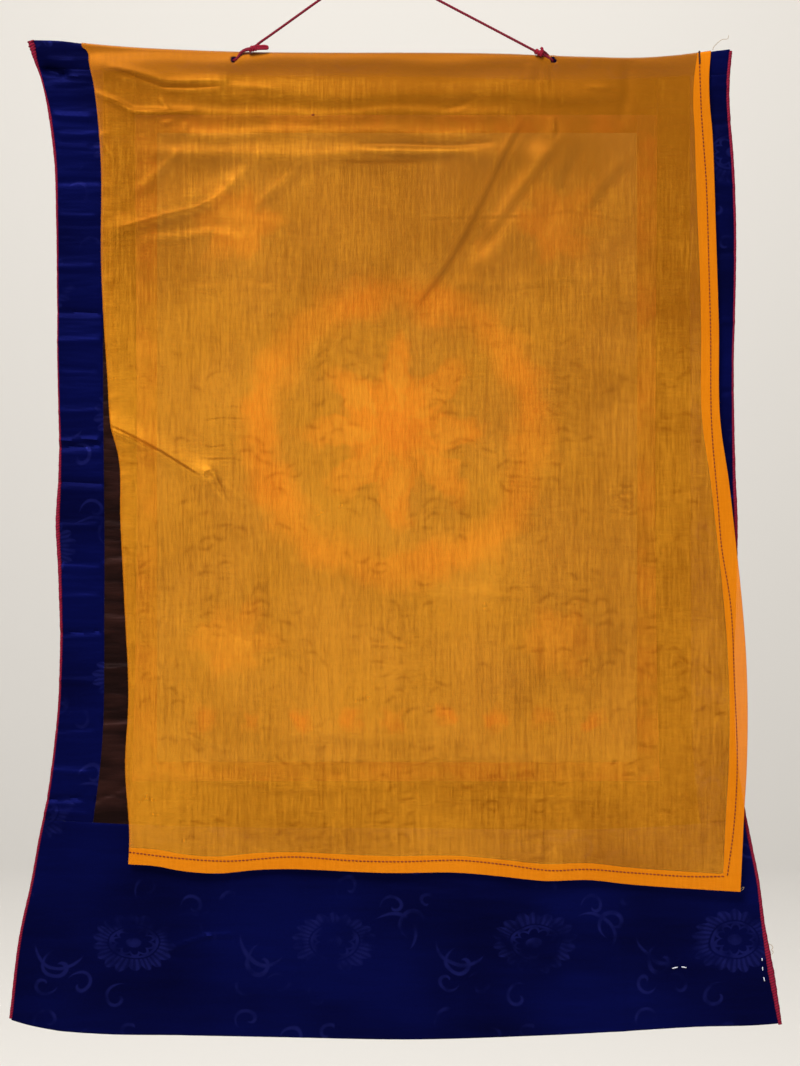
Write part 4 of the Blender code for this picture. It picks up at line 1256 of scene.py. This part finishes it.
drop = TOP_DROP + (FOOT_DROP - TOP_DROP) * fall
for _ in range(SETTLE_ROUNDS):
    side_hem = np.clip(along(SIDE_HEM, drop), 0.010, 0.016)
    x = along(VEIL_LEFT, drop) + (along(VEIL_RIGHT, drop) - along(VEIL_LEFT, drop)) * share
    x = x - under_x * side_hem
    top = along(LEVEL_LINES["top edge"], x)
    drop = top + (along(VEIL_FOOT, x) - top) * fall - under_drop * FOOT_HEM
x = x + 0.0002 * (layer_x == 0.5)
drop = drop + 0.0002 * (layer_drop == 0.5)
hem_start = 1 - SIDE_HEM[-1][1] / VEIL_WIDTH
over_corner = np.clip((share - under_x * SIDE_HEM[-1][1] / VEIL_WIDTH - hem_start) / 0.004 + 0.5, 0, 1)
stack = 1 + 2 * over_corner
depth = (1 - layer_drop) * layer_x + layer_drop * (stack - layer_x)
falls = np.clip((drop - along(LEVEL_LINES["top edge"], x)) / veil_height, 0, 1)
y = veil_face(x, drop, falls) + LAYER_STEP * depth
body = np.stack([x, y, -drop], -1)

# The turn over the top edge: from the lip's end behind, over the edge, to the front.
half = MOUNT_THICK / 2
front_gap = -half - VEIL_SLACK_TOP - 3 * LAYER_STEP
turn = (
    (half + VEIL_SLACK_TOP, -LIP_LENGTH),
    (half + VEIL_SLACK_TOP, -LIP_LENGTH / 2),
    (half + VEIL_SLACK_TOP, -0.0012),
    (half + VEIL_SLACK_TOP, 0.0),
    (half * 0.55, TURN_CLEAR * 0.85),
    (0.0, TURN_CLEAR),
    (-half * 0.9, TURN_CLEAR * 0.9),
    (front_gap * 0.85, TURN_CLEAR * 0.55),
)
lip = []
for behind, above in turn:
    fallen = drop[0] - above
    lip.append(np.stack([x[0], slow_waves(x[0], fallen) + behind + LAYER_STEP * layer_x[0], -fallen], -1))
veil_points = np.concatenate((np.array(lip), body))

# How hollow or proud each point lies: how far its neighbours' mean stands in front of it. The finish paints shade and
# light from it.
REACH_ROUND = 0.0022
around = sum(
    veil_fold(x + over, drop + off)
    for over, off in ((REACH_ROUND, 0), (-REACH_ROUND, 0), (0, REACH_ROUND), (0, -REACH_ROUND))
)
hollow_shade = np.zeros(veil_points.shape[:2])
hollow_shade[len(turn):] = around / 4 - veil_fold(x, drop)

hem_width = np.clip(along(SIDE_HEM, drop), 0.010, 0.016)
past_hem = np.full(veil_points.shape[:2], -0.01)
past_hem[len(turn):] = np.maximum(x - along(VEIL_RIGHT, drop) + hem_width, drop - along(VEIL_FOOT, x) + FOOT_HEM)
inward = np.full(veil_points.shape[:2], 0.02)
inward[len(turn):] = x - along(VEIL_LEFT, drop)

# Folds too sharp for the mesh: its points carry how far they lie beside the nearest one of each group, and the finish
# draws them with a bump and painted shade. Rows: rise of the upper or left side, half width, darkness of the painted
# shade, and points as x and drop, from the top down or from right to left.
SHARP_FOLDS = (
    (
        (0.0014, 0.0038, 0.22, ((0.1330, 0.1290), (0.1215, 0.1474), (0.1128, 0.1644), (0.0940, 0.2041), (0.0842, 0.2239), (0.0728, 0.2437), (0.0622, 0.2607), (0.0448, 0.2834), (0.0375, 0.2940))),
        (0.0007, 0.0013, 0.75, ((-0.1400, 0.4345), (-0.1619, 0.4211), (-0.1755, 0.4126), (-0.1950, 0.4022), (-0.2121, 0.3935), (-0.2230, 0.3885))),
        (0.0004, 0.0011, 0.32, ((-0.1206, 0.1023), (-0.1500, 0.1034), (-0.1747, 0.1029), (-0.1908, 0.0970), (-0.2054, 0.0911), (-0.2244, 0.0868))),
        (0.0004, 0.0011, 0.24, ((-0.1500, 0.1225), (-0.1791, 0.1234), (-0.1996, 0.1225), (-0.2128, 0.1161), (-0.2317, 0.1088))),
        (0.0003, 0.0016, 0.28, ((0.0540, 0.1655), (0.0300, 0.1662), (0.0000, 0.1668), (-0.0300, 0.1660))),
    ),
    (
        (0.0009, 0.0050, 0.10, ((0.1620, 0.1480), (0.1560, 0.1584), (0.1280, 0.1940), (0.1000, 0.2324), (0.0854, 0.2494))),
        (0.0007, 0.0050, 0.08, ((0.2230, 0.1600), (0.2186, 0.1669), (0.2020, 0.1860), (0.1846, 0.2069), (0.1720, 0.2200))),
        (0.0005, 0.0012, 0.35, ((-0.1800, 0.4122), (-0.1900, 0.4075), (-0.2000, 0.4020), (-0.2121, 0.3972), (-0.2230, 0.3935))),
        (0.0005, 0.0013, 0.45, ((-0.1322, 0.4285), (-0.1290, 0.4340), (-0.1262, 0.4400), (-0.1211, 0.4508))),
    ),
    (
        (0.0004, 0.0022, 0.08, ((0.2240, 0.2190), (0.1704, 0.2085), (0.1415, 0.2128), (0.0900, 0.2140), (0.0429, 0.2154))),
        (0.0002, 0.0011, 0.26, ((-0.1075, 0.3760), (-0.1160, 0.3735), (-0.1230, 0.3760))),
        (0.0002, 0.0012, 0.28, ((-0.0990, 0.3845), (-0.1250, 0.3835), (-0.1400, 0.3860), (-0.1480, 0.3850))),
        (0.0002, 0.0012, 0.28, ((-0.1190, 0.4065), (-0.1350, 0.4085), (-0.1430, 0.4060))),
        (0.0002, 0.0012, 0.28, ((-0.1000, 0.4190), (-0.1070, 0.4200), (-0.1160, 0.4180), (-0.1330, 0.4185), (-0.1480, 0.4170))),
        (0.0003, 0.0012, 0.30, ((-0.1300, 0.4290), (-0.1340, 0.4280), (-0.1380, 0.4300), (-0.1420, 0.4345))),
        (0.0004, 0.0020, 0.14, ((-0.1199, 0.1900), (-0.1300, 0.1990), (-0.1470, 0.2068), (-0.1740, 0.2129), (-0.2174, 0.2251))),
    ),
)
FOLD_FADE = 0.016
FOLD_REACH = 0.0036


def fold_marks(folds, x, drop):
    """The nearest fold's offset in half widths, how dark its painted shade is, and how proud it is there."""
    marks, nearest = np.zeros((*x.shape, 3)), np.full(x.shape, 9.0)
    for proud, half_width, dark, points in folds:
        away, offset, gone, length = beside_line(points, x, drop)
        ends = np.clip(np.minimum(gone, length - gone) / min(FOLD_FADE, length / 3), 0, 1)
        shown = ends**2 * (3 - 2 * ends) * (away < max(FOLD_REACH, 3.5 * half_width))
        mark = np.stack([offset / half_width, shown * dark, shown * proud], -1)
        marks = np.where((away < nearest)[..., None], mark, marks)
        nearest = np.minimum(nearest, away)
    return marks


number = np.arange(veil_points[..., 0].size).reshape(veil_points.shape[:2])
faces = np.stack([number[:-1, :-1], number[1:, :-1], number[1:, 1:], number[:-1, 1:]], -1).reshape(-1, 4)
flat_points = veil_points.reshape(-1, 3)
middles = flat_points[faces].mean(axis=1)
kept = np.ones(len(faces), bool)
for at_x, at_drop in EYELETS:
    kept &= np.hypot(middles[:, 0] - at_x, middles[:, 2] + at_drop) > FINE_PITCH
faces = faces[kept]
for at_x, at_drop in EYELETS:
    off = flat_points[:, [0, 2]] - (at_x, -at_drop)
    away = np.linalg.norm(off, axis=1)
    near = away < EYELET_CALM
    share = np.clip((away - 0.6 * FINE_PITCH) / (EYELET_CALM - 0.6 * FINE_PITCH), 0, 1)
    moved = EYELET_REACH + (EYELET_CALM - EYELET_REACH) * share
    new = (at_x, -at_drop) + off / np.maximum(away, 1e-6)[:, None] * moved[:, None]
    flat_points[near[:, None] & np.array([True, False, True])] = new[near].ravel()
veil_data = bpy.data.meshes.new("veil_silk_sheet")
veil_data.from_pydata(flat_points.tolist(), [], faces.tolist())
for name, values in (("past_hem", past_hem), ("inward", inward), ("hollow_shade", hollow_shade)):
    veil_data.attributes.new(name, "FLOAT", "POINT").data.foreach_set("value", values.ravel())
for group, folds in enumerate(SHARP_FOLDS):
    marks = np.zeros((*veil_points.shape[:2], 3))
    marks[len(turn):] = fold_marks(folds, x, drop)
    kind = veil_data.attributes.new(f"folds_{group}", "FLOAT_VECTOR", "POINT")
    kind.data.foreach_set("vector", marks.ravel())
veil_data.shade_smooth()

VEIL_DEEP = (0.36, 0.105, 0.002)
VEIL_GOLD = (0.92, 0.370, 0.019)
VEIL_HEM = (0.87, 0.240, 0.002)
VEIL_BEHIND = (0.66, 0.240, 0.009)
VEIL_ALPHA = 0.42
SELVEDGE_BAND = 0.0098
CRINKLE_CELL = (0.019, 0.0105, 0.0090, 0.0016)


def crinkle_strokes(place, wide, tall, reach, half_width):
    """Short bent strokes strewn over the cloth, one to a cell, most of them nearly level."""
    x, z = (place.node("ShaderNodeSeparateXYZ", {}, {0: place}, axis) for axis in "XZ")
    spot = place.node("ShaderNodeCombineXYZ", {}, {"X": x / wide, "Y": z / tall})
    cells = {"Vector": spot, "Scale": 1.0}
    middle = spot.node("ShaderNodeTexVoronoi", {"voronoi_dimensions": "2D"}, cells, "Position")
    chance = Value(place.tree, middle.socket.node.outputs["Color"])
    off = spot.node("ShaderNodeVectorMath", {"operation": "SUBTRACT"}, {0: spot, 1: middle})
    off_x, off_z = (off.node("ShaderNodeSeparateXYZ", {}, {0: off}, axis) for axis in "XY")
    lean, size, bow = (chance.node("ShaderNodeSeparateColor", {}, {0: chance}, part) for part in range(3))
    lean = (lean - 0.5) * 1.5
    off_x, off_z = off_x * wide, off_z * tall
    run = off_x * lean.math("COSINE") + off_z * lean.math("SINE")
    away = off_z * lean.math("COSINE") - off_x * lean.math("SINE")
    away = away + run * run * (bow - 0.5) * 160
    length = size * reach + reach * 0.25
    taper = (1 - run * run / (length * length)).math("MAXIMUM", 0.0)
    return (away * away / (half_width * half_width) * -1).math("EXPONENT") * taper * size.ease(0.25, 0.6)


veil_silk, place = new_finish("sheer_orange_silk", Specular_IOR_Level=0.05, Metallic=0.34)
warp = place.stretched(1150, 40, 60).noise(1.0, 0.6)
weft = place.stretched(70, 40, 1150).noise(1.0, 0.6)
slub = place.stretched(420, 40, 14).noise(0.0)
cloudy = place.stretched(7, 7, 9).noise(2.0, 0.6)
hem = read_point(place, "past_hem").ease(-0.0003, 0.0003)
inward = read_point(place, "inward")
selvedge = inward.ease(SELVEDGE_BAND + 0.002, SELVEDGE_BAND - 0.002)
side_x, height_z = (place.node("ShaderNodeSeparateXYZ", {}, {0: place}, axis) for axis in "XZ")
pulls, shade = 0, 0
# shade: painted shade along the sharp folds, where the cloth is also made a little denser
for group in range(len(SHARP_FOLDS)):
    mark = read_point(place, f"folds_{group}", "Vector")
    off, dark, proud = (mark.node("ShaderNodeSeparateXYZ", {}, {0: mark}, axis) for axis in "XYZ")
    bell = (off * off * -1).math("EXPONENT")
    pulls = off * bell * proud + pulls
    shade = bell * dark + shade
low_down = height_z.ease(-0.22, -0.40) * 0.85 + 0.15
heading = height_z.ease(-0.100, -0.088)  # painted shade where the veil lies flat on the dark heading
# Painted shade: the veil is darker towards the top, most over the heading, and towards the right side.
painted_shade = height_z.ease(-0.42, -0.10) * 0.40 + side_x.ease(-0.05, 0.24) * 0.17 + heading * 0.38
spots = place.stretched(20, 9, 25).noise(0.0).ease(0.42, 0.60)
# The crinkles are drawn in colour and alpha only: painted shade along each stroke, and a little denser cloth there.
strokes = crinkle_strokes(place, *CRINKLE_CELL) * spots
strokes = strokes * low_down * (1 - hem)
streaks = (warp - 0.5) * 0.85 + (weft - 0.5) * 0.50 + (slub - 0.5) * 0.34
# painted shade in the hollows and painted light on the proud points
hollow_shade = read_point(place, "hollow_shade") * 420
tone = (streaks + (cloudy - 0.5) * 0.9 + 0.63 - strokes * 0.30 - hollow_shade - shade - painted_shade).ease(0.0, 1.0)
sheer = tone.between(VEIL_DEEP, VEIL_GOLD)
rim = inward.ease(0.0020, 0.0008)
silk_colour = (hem * 0.78 + selvedge * 0.10 + rim * 0.5).math("MINIMUM", 0.9).between(sheer, VEIL_HEM)
alpha = (hem * 0.20 + strokes * 0.08 + shade * 0.3 + VEIL_ALPHA).math("MINIMUM", 0.95)
set_finish(
    veil_silk,
    Base_Color=silk_colour,
    Alpha=alpha,
    Roughness=warp * 0.2 + 0.42,
    height=warp * 0.00010 + pulls,
)
veil = link_piece("veil_silk_sheet", veil_data, veil_silk, "veil_silk", "veil")
veil_behind, _ = new_finish("sheer_orange_silk_behind", Roughness=0.52, Specular_IOR_Level=0.05, Metallic=0.34)
behind_shader = veil_behind.node_tree.nodes["Principled BSDF"]
behind_shader.inputs["Base Color"].default_value = (*VEIL_BEHIND, 1.0)
behind_shader.inputs["Alpha"].default_value = VEIL_ALPHA
veil_data.materials.append(veil_behind)
shell = veil.modifiers.new("thickness", "SOLIDIFY")
shell.thickness = VEIL_THICK
shell.offset = 0.0
shell.material_offset = 1
bpy.ops.object.select_all(action="DESELECT")
veil.select_set(True)
bpy.context.view_layer.objects.active = veil
bpy.ops.object.modifier_apply(modifier=shell.name)


# Hem stitching: red-brown machine thread down the right hem and along the foot, about 3 mm a stitch,
# doubled back at the top. White tacking stitches and frayed threads are left in the cloth.
STITCH_LENGTH = 0.0024
STITCH_GAP = 0.0032
STITCH_PROUD = 0.00022
STITCH_REACH = 0.00050
STITCH_SIDE = (
    # drop, x
    (0.0720, 0.2797),
    (0.1261, 0.2814),
    (0.1805, 0.2852),
    (0.2579, 0.2877),
    (0.3055, 0.2889),
    (0.3922, 0.2900),
    (0.4576, 0.2954),
    (0.4899, 0.2979),
    (0.5401, 0.3056),
    (0.6055, 0.3090),
    (0.6829, 0.3115),
    (0.7288, 0.3090),
    (0.7721, 0.3035),
)
STITCH_FOOT = (
    # x, drop
    (-0.2040, 0.7517),
    (-0.1619, 0.7568),
    (-0.1233, 0.7594),
    (-0.0650, 0.7560),
    (-0.0106, 0.7590),
    (0.0259, 0.7598),
    (0.0803, 0.7590),
    (0.1126, 0.7619),
    (0.1560, 0.7670),
    (0.1823, 0.7662),
    (0.2214, 0.7696),
    (0.2750, 0.7730),
    (0.3035, 0.7726),
)
TACKS = (
    # x and drop at the start and end
    (0.2574, 0.8523, 0.2628, 0.8511),
    (0.2653, 0.8509, 0.2703, 0.8517),
    (0.3342, 0.8432, 0.3344, 0.8460),
    (0.3346, 0.8508, 0.3348, 0.8543),
    (0.3356, 0.8595, 0.3364, 0.8632),
)


def one_stitch():
    """A short length of thread along X whose ends dip into the cloth."""
    bpy.ops.object.select_all(action="DESELECT")
    bpy.ops.mesh.primitive_cylinder_add(
        vertices=6, radius=1.0, depth=1.0, end_fill_type="NGON", rotation=(0, radians(90), 0)
    )
    bpy.ops.object.transform_apply(location=False, rotation=True, scale=False)
    made = bpy.context.object
    bpy.ops.object.mode_set(mode="EDIT")
    for cut in (-0.3, 0.3):
        bpy.ops.mesh.select_all(action="SELECT")
        bpy.ops.mesh.bisect(plane_co=(cut, 0, 0), plane_no=(1, 0, 0))
    mesh = bmesh.from_edit_mesh(made.data)
    for point in mesh.verts:
        point.select_set(abs(point.co.x) > 0.45)
    mesh.select_flush_mode()
    bpy.ops.transform.resize(value=(1, 0.45, 0.45))
    bpy.ops.transform.translate(value=(0, 0.9, 0))
    bpy.ops.object.mode_set(mode="OBJECT")
    data = made.data
    bpy.data.objects.remove(made)
    return data


def sewn(name, pattern, starts, ends, reach, material, slot):
    """Copies of one stitch between pairs of points, joined into one piece."""
    points = np.array([point.co for point in pattern.vertices])
    faces = [list(face.vertices) for face in pattern.polygons]
    all_points, all_faces = [], []
    for start, end in zip(np.array(starts), np.array(ends)):
        run = end - start
        length = np.linalg.norm(run)
        run = run / length
        out = np.array((0.0, 1.0, 0.0)) - run * run[1]
        out /= np.linalg.norm(out)
        up = np.cross(run, out)
        placed = points[:, :1] * run * length + points[:, 1:2] * out * reach + points[:, 2:] * up * reach
        all_faces += [[corner + len(all_points) for corner in face] for face in faces]
        all_points += ((start + end) / 2 + placed).tolist()
    data = bpy.data.meshes.new(name)
    data.from_pydata(all_points, [], all_faces)
    data.shade_smooth()
    return link_piece(name, data, material, slot)


def thread_finish(name, dark, light):
    material, place = new_finish(name, Roughness=0.75, Specular_IOR_Level=0.3)
    strands = place.stretched(3000, 3000, 3000).noise(2.0)
    set_finish(material, Base_Color=strands.ease(0.3, 0.7).between(dark, light), height=strands * 0.00005)
    return material


def on_veil(x, drop):
    """Points that lie on the veil's front."""
    x, drop = np.asarray(x, float), np.asarray(drop, float)
    falls = np.clip((drop - along(LEVEL_LINES["top edge"], x)) / veil_height, 0, 1)
    return np.column_stack([x, veil_face(x, drop, falls) - VEIL_THICK / 2 - STITCH_PROUD, -drop])


stitch = one_stitch()
side_drops = np.arange(STITCH_SIDE[0][0], STITCH_SIDE[-1][0] - STITCH_LENGTH, STITCH_GAP)
foot_places = np.arange(STITCH_FOOT[0][0], STITCH_FOOT[-1][0] - STITCH_LENGTH, STITCH_GAP)
back_drops = np.arange(0.0719, 0.0832, 0.0019)
starts = np.concatenate(
    (
        on_veil(along(STITCH_SIDE, side_drops), side_drops),
        on_veil(foot_places, along(STITCH_FOOT, foot_places)),
        on_veil([-0.0494], [0.1273]),  # a loose end that was pressed into the cloth
    )
)
ends = np.concatenate(
    (
        on_veil(along(STITCH_SIDE, side_drops + STITCH_LENGTH), side_drops + STITCH_LENGTH),
        on_veil(foot_places + STITCH_LENGTH, along(STITCH_FOOT, foot_places + STITCH_LENGTH)),
        on_veil([-0.0464], [0.1268]),
    )
)
hem_thread = thread_finish("hem_thread_finish", (0.085, 0.004, 0.003), (0.190, 0.012, 0.007))
hem_stitches = sewn("hem_stitching", stitch, starts, ends, STITCH_REACH, hem_thread, "binding_silk")
dark_thread = thread_finish("dark_thread_finish", (0.012, 0.003, 0.004), (0.045, 0.008, 0.008))
back_stitches = sewn(
    "back_stitches",
    stitch,
    on_veil(along(STITCH_SIDE, back_drops) + 0.0009, back_drops),
    on_veil(along(STITCH_SIDE, back_drops + 0.0023) - 0.0004, back_drops + 0.0023),
    0.00072,
    dark_thread,
    "binding_silk",
)

tack_rows = np.array(TACKS)


def on_mount(x, drop):
    return np.column_stack([x, mount_face(x, drop) - 0.0001, -drop])


white_thread = thread_finish("white_thread_finish", (0.55, 0.55, 0.62), (0.85, 0.85, 0.90))
tacks = sewn(
    "tacking_stitches",
    stitch,
    on_mount(tack_rows[:, 0], tack_rows[:, 1]),
    on_mount(tack_rows[:, 2], tack_rows[:, 3]),
    0.00042,
    white_thread,
    "cord_yarn",
)

THREADS = {
    # x, how far in front of the mount, drop
    "pale_thread": (
        (0.2915, 0.0005, 0.0712),
        (0.2922, 0.0008, 0.0690),
        (0.2943, 0.0014, 0.0665),
        (0.2993, 0.0020, 0.0626),
        (0.3043, 0.0022, 0.0615),
        (0.3048, 0.0022, 0.0590),
    ),
    "corner_thread": (
        (0.3132, 0.0040, 0.7850),
        (0.3150, 0.0040, 0.7846),
        (0.3166, 0.0036, 0.7832),
        (0.3184, 0.0034, 0.7826),
        (0.3178, 0.0032, 0.7844),
        (0.3160, 0.0032, 0.7856),
    ),
    "edge_fray": (
        (0.3396, 0.0008, 0.8310),
        (0.3424, 0.0010, 0.8325),
        (0.3432, 0.0012, 0.8345),
        (0.3420, 0.0014, 0.8360),
        (0.3434, 0.0016, 0.8378),
        (0.3426, 0.0012, 0.8400),
    ),
}
fray = thread_finish("fray_finish", (0.22, 0.13, 0.06), (0.52, 0.40, 0.26))
for name, route in THREADS.items():
    x, front, drop = smooth_route(route, 0.0006).T
    line = np.column_stack([x, mount_face(x, drop) - front, -drop])
    yarn_tube(name, line, np.full(len(line), 0.00023), 0.002, 0.1, fray, "veil_silk", plies=2, sides=6)
